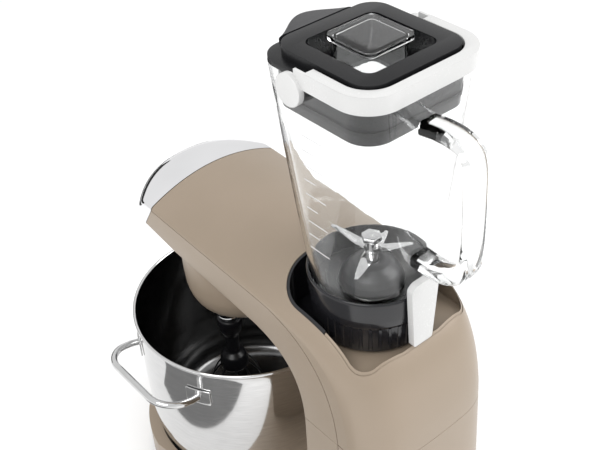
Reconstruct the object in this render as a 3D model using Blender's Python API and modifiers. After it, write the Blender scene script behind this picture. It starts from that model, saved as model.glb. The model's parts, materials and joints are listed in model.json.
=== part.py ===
"""Tilting-head stand mixer with a blender jug on the back of its head. Metres, +Z up.

The front of the machine faces -Y. The origin is on the ground, in the middle of the footprint.
Heights are above the ground, and distances along Y are measured from the bowl's axis until
a part is placed.
"""

import math

import bmesh
import bpy
import numpy as np
from mathutils import Matrix, Vector

# Driving dimensions
BOWL_Y = -0.0895  # the bowl's axis, from the middle of the footprint
BOWL_RIM_RADIUS = 0.115
BOWL_RIM_Z = 0.200
HALF_WIDTH = 0.0737  # of the head and the column
GAP = 0.0003  # between pieces that touch
SHELL = 0.0026  # wall of the moulded covers
TOP_EDGE_RADIUS = 0.0030  # along the sides of the nose, the top and the back
UNDER_EDGE_RADIUS = 0.0026  # along the arm's underside and the column's front

# Head and column, seen from the side
CREST_Z = 0.349
SHOULDER_Y = 0.125
NOSE_SPLIT_Y = -0.0322
NOSE_FOOT_Y = -0.0660
UNDER_FRONT_Z = 0.3050  # of the arm's underside, at its sides
UNDER_BOW = 0.0055  # how much lower the underside is along the middle
COLUMN_FRONT_Y = 0.180
COLUMN_FOOT_Z = 0.030
COLUMN_START_Z = 0.0453
CREST_DROP = 0.0178  # how far the top falls from the middle to its sides, at the nose
SHOULDER_DROP = 0.0245  # the same where the shoulder starts
BACK_DROP = 0.0030
CORNER_DROP = 0.0307  # round the back's upright corners
NOSE_DROP = 0.588  # share of the nose's length lost at its sides

# Tilting joint
TILT_Y = 0.258
TILT_Z = 0.180
TILT_SPLIT_Z = 0.220
HINGE_ARM_X = 0.0225

# Controls on the column's right side
KNOB_Y = 0.2010
KNOB_Z = 0.1050
BUTTON_Y = 0.2010
BUTTON_Z = 0.1650

# Base
BASE_RADIUS = 0.1200
BASE_TOP_Z = 0.0450
BASE_LOW_Z = 0.0085
BASE_BACK_Y = 0.2840
BASE_BACK_HALF = 0.0830
RECESS_RADIUS = 0.1075
RECESS_Z = 0.0170
SEAT_Z = 0.0215

# Mixing drive
TOOL_OFFSET = 0.0225
GEAR_MODULE = 0.00225
RING_TEETH = 32
PLANET_TEETH = 12
HUB_PULLEY_RADIUS = 0.0460
MOTOR_PULLEY_RADIUS = 0.0092
BELT_LOW_Z = 0.2940
BELT_HIGH_Z = 0.2978
MOTOR_Y = 0.2155
MOTOR_RADIUS = 0.0315
WHISK_LOOPS = 3
WIRE_RADIUS = 0.0011

# Blender jug
JUG_Y = 0.1884
TRANSFER_TEETH = 12
JUG_FOOT_Z = 0.3030
GLASS_LOW_Z = 0.3345
GLASS_TOP_Z = 0.5440
GLASS_WALL = 0.0032
ROUND_FOOT_SHARE = 0.12  # of the glass's height that stays round
WELL_HALF = 0.0632
WELL_FRONT_Y = 0.1305
WELL_BACK_Y = 0.2485
WELL_FLOOR_Z = 0.2985
WELL_FLOOR_THICKNESS = 0.0018
LID_TOP_Z = 0.5564
BAIL_Y = JUG_Y - 0.0155
BAIL_Z = 0.5370
BAIL_HALF = 0.0614
BAIL_TOP_Z = 0.5548


# ---------------------------------------------------------------- modelling helpers


def clear_scene():
    for old in list(bpy.data.objects):
        bpy.data.objects.remove(old, do_unlink=True)


def new_collection(name):
    made = bpy.data.collections.new(name)
    bpy.context.scene.collection.children.link(made)
    return made


clear_scene()
PARTS = new_collection("stand_mixer")
CUTTERS = new_collection("cutters")


def material(name, colour, roughness, metallic=0.0, transmission=0.0):
    made = bpy.data.materials.new(name)
    made.use_nodes = True
    made.diffuse_color = (*colour, 1.0)
    shader = made.node_tree.nodes["Principled BSDF"]
    shader.inputs["Base Color"].default_value = (*colour, 1.0)
    shader.inputs["Roughness"].default_value = roughness
    shader.inputs["Metallic"].default_value = metallic
    shader.inputs["Transmission Weight"].default_value = transmission
    return made


PAINT = material("champagne_paint", (0.47, 0.39, 0.31), 0.42, 0.25)
CHROME = material("chrome", (0.85, 0.85, 0.86), 0.06, 1.0)
BLACK = material("black_plastic", (0.015, 0.015, 0.018), 0.32)
WHITE = material("white_plastic", (0.80, 0.80, 0.79), 0.30)
GREY = material("grey_plastic", (0.09, 0.09, 0.10), 0.40)
RUBBER = material("rubber", (0.02, 0.02, 0.02), 0.75)
STAINLESS = material("stainless", (0.62, 0.62, 0.62), 0.10, 1.0)
STEEL = material("steel", (0.45, 0.45, 0.46), 0.35, 1.0)
BRASS = material("brass", (0.65, 0.48, 0.20), 0.35, 1.0)
COPPER = material("copper_windings", (0.55, 0.25, 0.12), 0.45, 0.8)
GLASS = material("glass", (0.92, 0.95, 0.95), 0.02, 0.0, 0.95)
CLEAR = material("clear_plastic", (0.90, 0.92, 0.92), 0.06, 0.0, 0.9)
BOARD = material("circuit_board", (0.03, 0.18, 0.08), 0.50)


def add(name, mesh, finish, home=None):
    """An object for a mesh whose Y runs from the bowl's axis."""
    obj = bpy.data.objects.new(name, mesh)
    obj.location = (0.0, BOWL_Y, 0.0)
    mesh.materials.clear()
    mesh.materials.append(finish)
    (home or PARTS).objects.link(obj)
    return obj


def smooth(obj, angle=math.radians(35)):
    obj.data.shade_smooth()
    obj.data.set_sharp_from_angle(angle=angle)
    return obj


def mesh_of(bm, name):
    bmesh.ops.recalc_face_normals(bm, faces=bm.faces)
    mesh = bpy.data.meshes.new(name)
    bm.to_mesh(mesh)
    bm.free()
    return mesh


def loft(name, rings, finish, home=None):
    """Solid through closed rings that all have the same number of points."""
    bm = bmesh.new()
    loops = [[bm.verts.new(point) for point in ring] for ring in rings]
    for low, high in zip(loops, loops[1:]):
        for i in range(len(low)):
            j = (i + 1) % len(low)
            bm.faces.new((low[i], low[j], high[j], high[i]))
    bm.faces.new(loops[0])
    bm.faces.new(loops[-1])
    return smooth(add(name, mesh_of(bm, name), finish, home))


def turned(name, profile, finish, at=(0.0, 0.0), steps=24, home=None, closed=False):
    """Body of revolution about an upright axis; the profile's outer side runs downwards."""
    mesh = bpy.data.meshes.new(name)
    count = len(profile)
    edges = [(i, (i + 1) % count) for i in range(count if closed else count - 1)]
    mesh.from_pydata([(r, 0.0, z) for r, z in profile], edges, [])
    obj = add(name, mesh, finish, home)
    obj.location += Vector((at[0], at[1], 0.0))
    screw = obj.modifiers.new("Turn", "SCREW")
    screw.steps = steps
    screw.render_steps = steps
    screw.use_merge_vertices = True
    screw.merge_threshold = 0.00002
    screw.use_smooth_shade = True
    return obj


def cylinder(name, radius, low, high, finish, at=(0.0, 0.0), steps=20, home=None):
    profile = [(0.0, high), (radius, high), (radius, low), (0.0, low)]
    return turned(name, profile, finish, at, steps, home)


def ring(name, inner, outer, low, high, finish, at=(0.0, 0.0), steps=28, home=None):
    profile = [(inner, high), (outer, high), (outer, low), (inner, low)]
    return turned(name, profile, finish, at, steps, home, closed=True)


def lie_along_x(obj, y, z):
    """Turns an upright body so that its own axis runs along X, through (y, z)."""
    obj.rotation_euler = (0.0, math.pi / 2, 0.0)
    obj.location = (obj.location.x, BOWL_Y + y, z)
    return obj


def evaluated_mesh(obj, name):
    bpy.context.view_layer.update()
    graph = bpy.context.evaluated_depsgraph_get()
    mesh = bpy.data.meshes.new_from_object(obj.evaluated_get(graph))
    mesh.name = name
    bm = bmesh.new()
    bm.from_mesh(mesh)
    bmesh.ops.remove_doubles(bm, verts=bm.verts, dist=0.00001)
    bmesh.ops.recalc_face_normals(bm, faces=bm.faces)
    bm.to_mesh(mesh)
    bm.free()
    return mesh


PLANES = {
    "Z": Matrix.Identity(4),
    "X": Matrix(((0, 0, 1, 0), (1, 0, 0, 0), (0, 1, 0, 0), (0, 0, 0, 1))),
    "Y": Matrix(((1, 0, 0, 0), (0, 0, -1, 0), (0, 1, 0, 0), (0, 0, 0, 1))),
}


def plate(name, outlines, low, high, finish, across="Z", home=None):
    """Flat piece from low to high across an axis: the first outline, less the others."""
    curve = bpy.data.curves.new(name, "CURVE")
    curve.dimensions = "2D"
    curve.fill_mode = "BOTH"
    curve.extrude = (high - low) / 2
    for outline in outlines:
        spline = curve.splines.new("POLY")
        spline.points.add(len(outline) - 1)
        for point, (a, b) in zip(spline.points, outline):
            point.co = (a, b, 0.0, 1.0)
        spline.use_cyclic_u = True
    guide = bpy.data.objects.new(name + "_outline", curve)
    CUTTERS.objects.link(guide)
    mesh = evaluated_mesh(guide, name)
    bpy.data.objects.remove(guide, do_unlink=True)
    middle = (low + high) / 2
    shift = Matrix.Translation((0.0, 0.0, -middle if across == "Y" else middle))
    mesh.transform(PLANES[across] @ shift)
    return add(name, mesh, finish, home)


def tube(name, points, radius, finish, sides=2, cyclic=False, home=None):
    """Round rod along a line of points, as a closed mesh."""
    curve = bpy.data.curves.new(name, "CURVE")
    curve.dimensions = "3D"
    curve.bevel_depth = radius
    curve.bevel_resolution = sides
    curve.use_fill_caps = True
    spline = curve.splines.new("POLY")
    spline.points.add(len(points) - 1)
    for point, place in zip(spline.points, points):
        point.co = (*place, 1.0)
    spline.use_cyclic_u = cyclic
    guide = bpy.data.objects.new(name + "_path", curve)
    CUTTERS.objects.link(guide)
    mesh = evaluated_mesh(guide, name)
    bpy.data.objects.remove(guide, do_unlink=True)
    return smooth(add(name, mesh, finish, home))


def box(name, size, centre, finish, bevel=0.0, home=None):
    bm = bmesh.new()
    bmesh.ops.create_cube(bm, size=1.0)
    bmesh.ops.scale(bm, vec=size, verts=bm.verts)
    bmesh.ops.translate(bm, vec=centre, verts=bm.verts)
    obj = add(name, mesh_of(bm, name), finish, home)
    if bevel:
        rounding = obj.modifiers.new("Round", "BEVEL")
        rounding.width = bevel
        rounding.segments = 2
        rounding.limit_method = "ANGLE"
    return obj


def combine(obj, operation, *others):
    for other in others:
        change = obj.modifiers.new(operation.title(), "BOOLEAN")
        change.operation = operation
        change.object = other
        other.hide_render = True
        other.display_type = "WIRE"
        if other.name in PARTS.objects:
            PARTS.objects.unlink(other)
            CUTTERS.objects.link(other)
    return obj


def cut(obj, *cutters):
    return combine(obj, "DIFFERENCE", *cutters)


def join(obj, *others):
    return combine(obj, "UNION", *others)


def keep_inside(obj, *others):
    return combine(obj, "INTERSECT", *others)


def pivot(name, at, *pieces):
    """Empty on a joint's axis that carries the pieces which move about it."""
    empty = bpy.data.objects.new(name, None)
    empty.location = (at[0], BOWL_Y + at[1], at[2])
    PARTS.objects.link(empty)
    bpy.context.view_layer.update()
    for piece in pieces:
        piece.parent = empty
        piece.matrix_parent_inverse = empty.matrix_world.inverted()
    return empty


# ---------------------------------------------------------------- outlines


def bezier(start, first, second, end, count):
    """Points along a cubic curve, without its end."""
    points = []
    for i in range(count):
        t = i / count
        s = 1.0 - t
        weights = (s**3, 3 * s * s * t, 3 * s * t * t, t**3)
        points.append(
            tuple(
                sum(w * p[k] for w, p in zip(weights, (start, first, second, end)))
                for k in range(2)
            )
        )
    return points


def arc(centre, radius, start, end, count):
    """Points along an arc, angles in degrees, with both ends."""
    return [
        (
            centre[0] + radius * math.cos(math.radians(start + (end - start) * i / count)),
            centre[1] + radius * math.sin(math.radians(start + (end - start) * i / count)),
        )
        for i in range(count + 1)
    ]


def circle(centre, radius, count=40):
    return arc(centre, radius, 0.0, 360.0 * (count - 1) / count, count - 1)


def rounded_square(half, corner, count=4, centre=(0.0, 0.0), turn=0.0):
    """Square with round corners: count segments to a corner."""
    points = []
    for k in range(4):
        middle = math.radians(90 * k + 45)
        away = math.sqrt(2.0) * (half - corner)
        hub = (away * math.cos(middle), away * math.sin(middle))
        points += arc(hub, corner, 90 * k, 90 * k + 90, count)
    return [(centre[0] + x, centre[1] + y) for x, y in points]


def offset_inwards(outline, insets):
    """Clockwise outline moved inwards, by one distance or by one for each point."""
    points = np.array(outline)
    along = np.roll(points, -1, axis=0) - points
    along /= np.linalg.norm(along, axis=1)[:, None]
    inward = np.stack([along[:, 1], -along[:, 0]], axis=1)
    before = np.roll(inward, 1, axis=0)
    lean = 1.0 + (inward * before).sum(axis=1)
    depth = np.broadcast_to(insets, len(points))
    moved_points = points + (depth / lean)[:, None] * (inward + before)
    return [tuple(point) for point in moved_points]


def crest(u):
    """Nose, top and back from the nose's foot to the column's, u half-widths off the middle."""
    foot_z = UNDER_FRONT_Z - UNDER_BOW
    split = (NOSE_SPLIT_Y, CREST_Z)
    nose = bezier((NOSE_FOOT_Y, foot_z), (-0.1020, 0.2925), (-0.1057, 0.3600), split, 6)
    top = bezier(split, (0.02, CREST_Z), (0.08, CREST_Z), (SHOULDER_Y, CREST_Z), 3)
    line = []
    for y, z in nose + top:
        rise = (z - foot_z) / (CREST_Z - foot_z)
        along = max(0.0, (y - NOSE_SPLIT_Y) / (SHOULDER_Y - NOSE_SPLIT_Y))
        drop = CREST_DROP + (SHOULDER_DROP - CREST_DROP) * along
        if y < NOSE_SPLIT_Y:
            y = NOSE_SPLIT_Y + (y - NOSE_SPLIT_Y) * (1.0 - NOSE_DROP * abs(u) ** 2.64)
        line.append((y, z + u * u * (UNDER_BOW * (1.0 - rise) - drop * rise)))
    shoulder = bezier((SHOULDER_Y, CREST_Z), (0.1962, 0.3461), (0.2597, 0.3440), (0.2710, 0.2350), 8)
    back = bezier((0.2710, 0.2350), (0.2735, 0.1900), (0.2760, 0.1300), (0.2770, COLUMN_FOOT_Z), 3)
    spine = shoulder + back + [(0.2770, COLUMN_FOOT_Z)]
    for i, (y, z) in enumerate(spine):
        ahead = spine[min(i + 1, len(spine) - 1)]
        behind = spine[max(i - 1, 0)]
        run = Vector((ahead[0] - behind[0], ahead[1] - behind[1])).normalized()
        share = min(1.0, 1.6 * i / 8)
        drop = u * u * (SHOULDER_DROP + (BACK_DROP - SHOULDER_DROP) * share)
        drop += u**6 * CORNER_DROP * share
        line.append((y + run.y * drop, z - run.x * drop))
    return line


def under(u):
    """From the foot of the column's front up, and along the arm's underside to the nose."""
    front = COLUMN_FRONT_Y
    line = [(front, COLUMN_FOOT_Z)]
    line += bezier((front, 0.2100), (front, 0.2560), (0.1640, 0.2800), (0.1200, 0.2872), 6)
    line += [(0.1200, 0.2872), (0.0600, 0.2925), (0.0, 0.2976)]
    return [(y, z - UNDER_BOW * (1.0 - u * u) * min(1.0, max(0.0, (0.15 - y) / 0.09))) for y, z in line]


def edge_fall(past, radius):
    """How far an edge of that radius has fallen, past beyond where it starts."""
    return radius - math.sqrt(max(0.0, radius**2 - max(0.0, past) ** 2))


def body_solid(name, inset, home=None):
    """The whole outside of the head and the column, moved inwards by inset."""
    half = HALF_WIDTH - inset
    top_edge = max(0.0006, TOP_EDGE_RADIUS - inset)
    under_edge = max(0.0005, UNDER_EDGE_RADIUS - inset)
    start = half - top_edge
    places = [0.0, 0.50 * start, 0.78 * start, start, half - 0.30 * top_edge, half]
    places = [-x for x in reversed(places[1:])] + places
    rings = []
    for x in places:
        over = crest(x / HALF_WIDTH)
        below = under(x / HALF_WIDTH)
        top_fall = edge_fall(abs(x) - start, top_edge)
        under_fall = edge_fall(abs(x) - (half - under_edge), under_edge)
        falls = [under_fall] + [top_fall] * (len(over) - 2) + [under_fall] * (len(below) + 1)
        outline = offset_inwards(over + below, np.array(falls) + inset)
        rings.append([(x, y, z) for y, z in outline])
    solid = loft(name, rings, PAINT, home or CUTTERS)
    bm = bmesh.new()
    bm.from_mesh(solid.data)
    bmesh.ops.triangulate(bm, faces=bm.faces)
    bm.to_mesh(solid.data)
    bm.free()
    return solid


def side_seam():
    """Line between the top and rear covers and the bands down the sides."""
    bend = bezier((0.1210, 0.3210), (0.1850, 0.3190), (0.2200, 0.2840), (0.2238, 0.2150), 7)
    along = [(NOSE_SPLIT_Y, 0.3284), (0.0, 0.3268), (0.0600, 0.3238)]
    return along + bend + [(0.2238, 0.2150), (0.2240, 0.100), (0.2240, 0.020)]


def tilt_split(offset):
    """Line between the head and the column from front to back, moved up by offset."""
    radius = TILT_SPLIT_Z - TILT_Z + offset
    bend = arc((TILT_Y, TILT_Z), radius, 90.0, 20.0, 7)
    return [(0.150, TILT_SPLIT_Z + offset)] + bend + [(0.300, bend[-1][1])]


def zone(name, outline):
    return plate(name, [outline], -0.100, 0.100, PAINT, "X", CUTTERS)


# ---------------------------------------------------------------- covers of the head


def seam_above(low_z):
    return [point for point in side_seam() if point[1] > low_z]


def seam_point_at(z):
    """The place on the side seam at a height on its upright stretch."""
    line = side_seam()
    for (y0, z0), (y1, z1) in zip(line, line[1:]):
        if z1 <= z < z0:
            return (y0 + (y1 - y0) * (z - z0) / (z1 - z0), z)
    return line[-1]


def nose_split():
    """Line between the chrome nose and the painted covers, from top to bottom."""
    return [(NOSE_SPLIT_Y, 0.400), (NOSE_SPLIT_Y, 0.3284), (-0.0429, 0.3122), (-0.0590, 0.2860), (-0.0620, 0.270)]


def shifted(line, dy, dz):
    return [(y + dy, z + dz) for y, z in line]


def head_top_cover():
    """Top of the arm and upper back, in one moulding with the well for the jug."""
    edge = shifted(seam_above(TILT_SPLIT_Z) + [seam_point_at(TILT_SPLIT_Z + GAP)], GAP, GAP)
    split = [p for p in tilt_split(GAP / 2) if p[0] > edge[-1][0]]
    front = shifted(nose_split()[:1], GAP, 0.0)
    outline = edge + split + [(0.320, 0.400)] + front
    cover = body_solid("head_top_cover", 0.0, PARTS)
    keep_inside(cover, zone("zone_top", outline))
    cut(cover, body_solid("hollow_top", SHELL))
    well = plate("well_hole", [well_outline(0.0)], WELL_FLOOR_Z - 0.0100, 0.4000, PAINT, "Z", CUTTERS)
    return cut(cover, well)


def head_lower_shell():
    """Side bands, underside of the arm, front of the upper column, and the hub's neck."""
    edge = seam_above(TILT_SPLIT_Z)[1:] + [seam_point_at(TILT_SPLIT_Z)]
    front = shifted(nose_split()[1:], GAP, 0.0)
    outline = edge + [(0.150, TILT_SPLIT_Z + GAP / 2), (0.150, 0.270)] + front[::-1]
    shell = body_solid("head_lower_shell", 0.0, PARTS)
    keep_inside(shell, zone("zone_lower", outline))
    cut(shell, body_solid("hollow_lower", SHELL))
    cut(shell, cylinder("neck_bore", 0.0560, 0.2600, 0.3100, PAINT, steps=32, home=CUTTERS))
    outer = [(0.0585, 0.3060), (0.0582, 0.2550), (0.0568, 0.2330), (0.0525, 0.2170)]
    outer += [(0.0455, 0.2062), (0.0405, 0.2020), (0.0385, 0.1995)]
    inner = [(0.0372, 0.2000), (0.0372, 0.2040), (0.0440, 0.2090), (0.0505, 0.2190)]
    inner += [(0.0543, 0.2340), (0.0556, 0.2555), (0.0556, 0.3060)]
    neck = turned("hub_neck", outer + inner, PAINT, steps=32, home=CUTTERS, closed=True)
    cut(neck, body_solid("neck_limit", SHELL - 0.0005))
    return join(shell, neck)


def nose_cap():
    """Polished cover over the front of the arm."""
    outline = shifted(nose_split(), -GAP / 2, 0.0) + [(-0.120, 0.270), (-0.120, 0.400)]
    cap = body_solid("nose_cap", 0.0, PARTS)
    cap.data.materials.clear()
    cap.data.materials.append(CHROME)
    keep_inside(cap, zone("zone_nose", outline))
    cut(cap, body_solid("hollow_nose", 0.0018))
    return cut(cap, cylinder("nose_neck_room", 0.0592, 0.2600, 0.3040, PAINT, steps=32, home=CUTTERS))


def well_outline(inset):
    """Plan of the well: a rectangle with round corners, the rear ones sharper."""
    front = 0.0360
    rear = 0.0180
    bow = 0.0040
    low = WELL_FRONT_Y + front
    high = WELL_BACK_Y - bow - rear
    points = arc((front - WELL_HALF, low), front - inset, 180.0, 270.0, 5)
    points += arc((WELL_HALF - front, low), front - inset, 270.0, 360.0, 5)
    points += arc((WELL_HALF - rear, high), rear - inset, 0.0, 80.0, 4)
    points += [(0.0200, WELL_BACK_Y - 0.25 * bow - inset), (-0.0200, WELL_BACK_Y - 0.25 * bow - inset)]
    points += arc((rear - WELL_HALF, high), rear - inset, 100.0, 180.0, 4)
    return points


def well_liner():
    """Dark wall round the front of the well, with the front half of its floor."""
    gap = GAP + 0.0001
    wall = 0.0022
    line = well_outline(gap)[:12]
    inner = well_outline(gap + wall)[:12]
    ends = [(x, JUG_Y + 0.0100) for x in (line[0][0], line[-1][0], inner[-1][0], inner[0][0])]
    band = [ends[0]] + line + ends[1:3] + inner[::-1] + [ends[3]]
    low = WELL_FLOOR_Z
    liner = plate("well_liner", [band], low, 0.3800, BLACK)
    front = [(line[0][0], JUG_Y)] + line + [(line[-1][0], JUG_Y)]
    floor = plate("liner_floor", [front], low, low + WELL_FLOOR_THICKNESS, BLACK, "Z", CUTTERS)
    join(liner, floor)
    hole = cylinder("liner_hole", 0.0130, 0.2900, 0.3100, BLACK, (0.0, JUG_Y), 24, CUTTERS)
    cut(liner, hole)
    return keep_inside(liner, body_solid("liner_limit", 0.0008))


def well_ledge():
    """Painted floor at the back of the well, behind the middle of the jug's foot."""
    gap = GAP + 0.0001
    half = WELL_HALF - 0.0030
    step = JUG_Y + 0.0104
    rear = well_outline(gap)[12:]
    past = step + 0.0007
    plan = [(-half, JUG_Y + GAP), (half, JUG_Y + GAP), (half, step), (rear[0][0], past)]
    plan += rear + [(rear[-1][0], past), (-half, step)]
    low = WELL_FLOOR_Z
    ledge = plate("well_ledge", [plan], low, low + WELL_FLOOR_THICKNESS, PAINT)
    hole = cylinder("ledge_hole", 0.0130, 0.2900, 0.3100, PAINT, (0.0, JUG_Y), 24, CUTTERS)
    return cut(ledge, hole)


# ---------------------------------------------------------------- column and base


def column_front_shell():
    """Sides and front of the column under the tilting joint."""
    top = TILT_SPLIT_Z - GAP / 2
    edge = [seam_point_at(top), (0.2240, 0.100), (0.2240, COLUMN_START_Z)]
    outline = edge + [(0.150, COLUMN_START_Z), (0.150, top)]
    shell = body_solid("column_front_shell", 0.0, PARTS)
    keep_inside(shell, zone("zone_column_front", outline))
    cut(shell, body_solid("hollow_column_front", SHELL))
    knob_hole = lie_along_x(cylinder("knob_hole", 0.0060, -0.01, 0.01, PAINT, home=CUTTERS), KNOB_Y, KNOB_Z)
    knob_hole.location.x = HALF_WIDTH
    button_hole = lie_along_x(
        cylinder("button_hole", 0.0088, -0.01, 0.01, PAINT, home=CUTTERS), BUTTON_Y, BUTTON_Z
    )
    button_hole.location.x = HALF_WIDTH
    return cut(shell, knob_hole, button_hole)


def column_rear_cover():
    """Back of the column, with a curved top edge that the head slides over."""
    top = [p for p in tilt_split(-GAP / 2) if p[0] > 0.2245]
    edge = [seam_point_at(TILT_SPLIT_Z - GAP / 2), (0.2240, 0.100), (0.2240, COLUMN_START_Z)]
    outline = shifted(edge, GAP, 0.0)[::-1] + top + [(0.300, COLUMN_START_Z)]
    cover = body_solid("column_rear_cover", 0.0, PARTS)
    keep_inside(cover, zone("zone_column_rear", outline))
    cut(cover, body_solid("hollow_column_rear", SHELL))
    socket = plate("inlet_hole", [rounded_square(0.0125, 0.003, 3, (0.0, 0.080))], 0.24, 0.30, PAINT, "Y", CUTTERS)
    return cut(cover, socket)


def base_outline(inset=0.0):
    """Round under the bowl, with straight sides running back to the column."""
    front = arc((0.0, 0.0), BASE_RADIUS - inset, 190.0, 350.0, 18)
    corner = 0.040
    hub = (BASE_BACK_HALF - corner, BASE_BACK_Y - corner)
    right = arc(hub, corner - inset, 8.0, 90.0, 4)
    left = [(-x, y) for x, y in reversed(right)]
    return front + right + left


def base_shell():
    """Moulded base with a round recess for the bowl, open underneath."""
    outline = [(x, y) for x, y in base_outline()]
    shell = plate("base_shell", [outline], BASE_LOW_Z, BASE_TOP_Z, PAINT)
    rounding = shell.modifiers.new("Round", "BEVEL")
    rounding.width = 0.0060
    rounding.segments = 2
    rounding.limit_method = "ANGLE"
    rounding.angle_limit = math.radians(60)
    hollow = plate("base_hollow", [base_outline(0.0035)], 0.0, BASE_TOP_Z - 0.0030, PAINT, "Z", CUTTERS)
    wall = cylinder("recess_wall", RECESS_RADIUS + 0.0025, -0.01, 0.05, PAINT, steps=36, home=CUTTERS)
    cut(hollow, wall)
    cut(shell, hollow)
    recess = cylinder("recess", RECESS_RADIUS, RECESS_Z, 0.10, PAINT, steps=36, home=CUTTERS)
    under = cylinder("under_recess", RECESS_RADIUS - 0.004, 0.0, RECESS_Z - 0.003, PAINT, steps=36, home=CUTTERS)
    floor_room = plate("floor_room", [base_outline(0.0037)], 0.0, BASE_LOW_Z + 0.0026, PAINT, "Z", CUTTERS)
    return cut(shell, recess, under, floor_room)


def base_plate():
    """Flat bottom plate, inside the lower edge of the base."""
    low = BASE_LOW_Z
    return plate("base_plate", [base_outline(0.0040)], low, low + 0.0022, BLACK)


FOOT_PLACES = {
    "foot_front_right": (0.070, -0.072),
    "foot_front_left": (-0.070, -0.072),
    "foot_rear_right": (0.060, 0.250),
    "foot_rear_left": (-0.060, 0.250),
}


def rubber_foot(name, at):
    top = BASE_LOW_Z - GAP
    profile = [(0.0, top), (0.0160, top), (0.0160, 0.0040), (0.0140, 0.0), (0.0, 0.0)]
    return turned(name, profile, RUBBER, at, 20)


def bowl_seat():
    """Dark locking plate that holds the bowl's foot."""
    low = RECESS_Z + GAP
    profile = [(0.0660, SEAT_Z + 0.003), (0.0700, SEAT_Z + 0.003), (0.0760, SEAT_Z - 0.001), (0.1000, SEAT_Z - 0.001)]
    profile += [(0.1000, low), (0.0120, low), (0.0120, SEAT_Z - 0.0010), (0.0660, SEAT_Z - 0.0010)]
    return turned("bowl_seat", profile, BLACK, steps=28, closed=True)


def speed_knob():
    """Round speed control with a pointer, and the lit ring behind it."""
    face = [(0.0, 0.0200), (0.0170, 0.0200), (0.0190, 0.0180), (0.0200, 0.0035), (0.0200, 0.0022), (0.0, 0.0022)]
    knob = turned("speed_knob", face, BLACK, steps=28)
    pointer = box("knob_pointer", (0.0022, 0.0120, 0.0020), (0.0, 0.0115, 0.0204), BLACK, home=CUTTERS)
    join(knob, pointer)
    for piece in (knob, pointer):
        lie_along_x(piece, KNOB_Y, KNOB_Z)
        piece.location.x = HALF_WIDTH
    trim = ring("knob_ring", 0.0065, 0.0225, 0.0003, 0.0019, CHROME, steps=28)
    lie_along_x(trim, KNOB_Y, KNOB_Z).location.x = HALF_WIDTH
    spindle = lie_along_x(cylinder("speed_switch", 0.0110, -0.0150, -0.0035, GREY, steps=20), KNOB_Y, KNOB_Z)
    spindle.location.x = HALF_WIDTH
    stem = lie_along_x(cylinder("knob_stem", 0.0030, -0.0032, 0.0040, STEEL, steps=16, home=CUTTERS), KNOB_Y, KNOB_Z)
    stem.location.x = HALF_WIDTH
    join(knob, stem)
    pivot("speed_knob_axis", (HALF_WIDTH, KNOB_Y, KNOB_Z), knob)
    return knob


def release_button():
    """Push button that frees the head, with its stem."""
    face = [(0.0, 0.0046), (0.0062, 0.0046), (0.0080, 0.0034), (0.0080, -0.0060), (0.0030, -0.0060)]
    face += [(0.0030, -0.0240), (0.0, -0.0240)]
    button = lie_along_x(turned("release_button", face, CHROME, steps=28), BUTTON_Y, BUTTON_Z)
    button.location.x = HALF_WIDTH
    turns = 4
    steps = 8
    path = [
        (
            HALF_WIDTH - 0.0215 + 0.0105 * i / (turns * steps),
            BUTTON_Y + 0.0050 * math.cos(2 * math.pi * i / steps),
            BUTTON_Z + 0.0050 * math.sin(2 * math.pi * i / steps),
        )
        for i in range(turns * steps + 1)
    ]
    tube("release_spring", path, 0.0005, STEEL, sides=0)
    pivot("release_button_axis", (HALF_WIDTH, BUTTON_Y, BUTTON_Z), button)
    return button


def column_frame():
    """Cast frame inside the column: a foot and two ears for the hinge pin."""
    foot = box("column_frame", (0.096, 0.050, 0.004), (0.0, 0.2130, 0.0490), STEEL)
    ears = []
    for side in (-1, 1):
        outline = [(0.2000, 0.048), (0.2400, 0.048)] + arc((TILT_Y, TILT_Z), 0.0075, -50.0, 150.0, 10)
        outline += [(0.2080, 0.1500)]
        x = side * 0.0300
        ears.append(plate(f"frame_ear_{side}", [outline], x - 0.0020, x + 0.0020, STEEL, "X", CUTTERS))
    join(foot, *ears)
    hole = lie_along_x(cylinder("frame_pin_hole", 0.0043, -0.05, 0.05, STEEL, steps=24, home=CUTTERS), TILT_Y, TILT_Z)
    stem_room = lie_along_x(
        cylinder("frame_button_room", 0.0042, 0.02, 0.05, STEEL, steps=20, home=CUTTERS), BUTTON_Y, BUTTON_Z
    )
    return cut(foot, hole, stem_room)


def column_top_plate():
    """Dark plate that closes the top of the column, with slots for the hinge arms."""
    back = 0.2500
    slot = 0.2000
    right = [(0.0690, 0.1840), (0.0690, 0.2180), (0.0620, 0.2360), (0.0400, back)]
    right += [(HINGE_ARM_X + 0.0040, back), (HINGE_ARM_X + 0.0040, slot)]
    right += [(HINGE_ARM_X - 0.0040, slot), (HINGE_ARM_X - 0.0040, back)]
    left = [(-x, y) for x, y in reversed(right)]
    return plate("column_top_plate", [right + left], 0.2150, 0.2175, BLACK)


def hinge_pin():
    pin = cylinder("hinge_pin", 0.0040, -0.0345, 0.0345, STEEL)
    return lie_along_x(pin, TILT_Y, TILT_Z)


def tilt_spring():
    """Coil round the hinge pin that helps to lift the head."""
    turns = 5
    steps = 8
    path = [
        (
            -0.0165 + 0.0330 * i / (turns * steps),
            TILT_Y + 0.0064 * math.cos(2 * math.pi * i / steps),
            TILT_Z + 0.0064 * math.sin(2 * math.pi * i / steps),
        )
        for i in range(turns * steps + 1)
    ]
    return tube("tilt_spring", path, 0.0010, STEEL, sides=0)


def power_inlet():
    """Mains inlet set in the rear cover."""
    outer = rounded_square(0.0122, 0.003, 3, (0.0, 0.080))
    inlet = plate("power_inlet", [outer], 0.2620, 0.2770, BLACK, "Y")
    hole = plate("inlet_mouth", [rounded_square(0.0095, 0.002, 3, (0.0, 0.080))], 0.2665, 0.29, BLACK, "Y", CUTTERS)
    return cut(inlet, hole)


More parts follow.
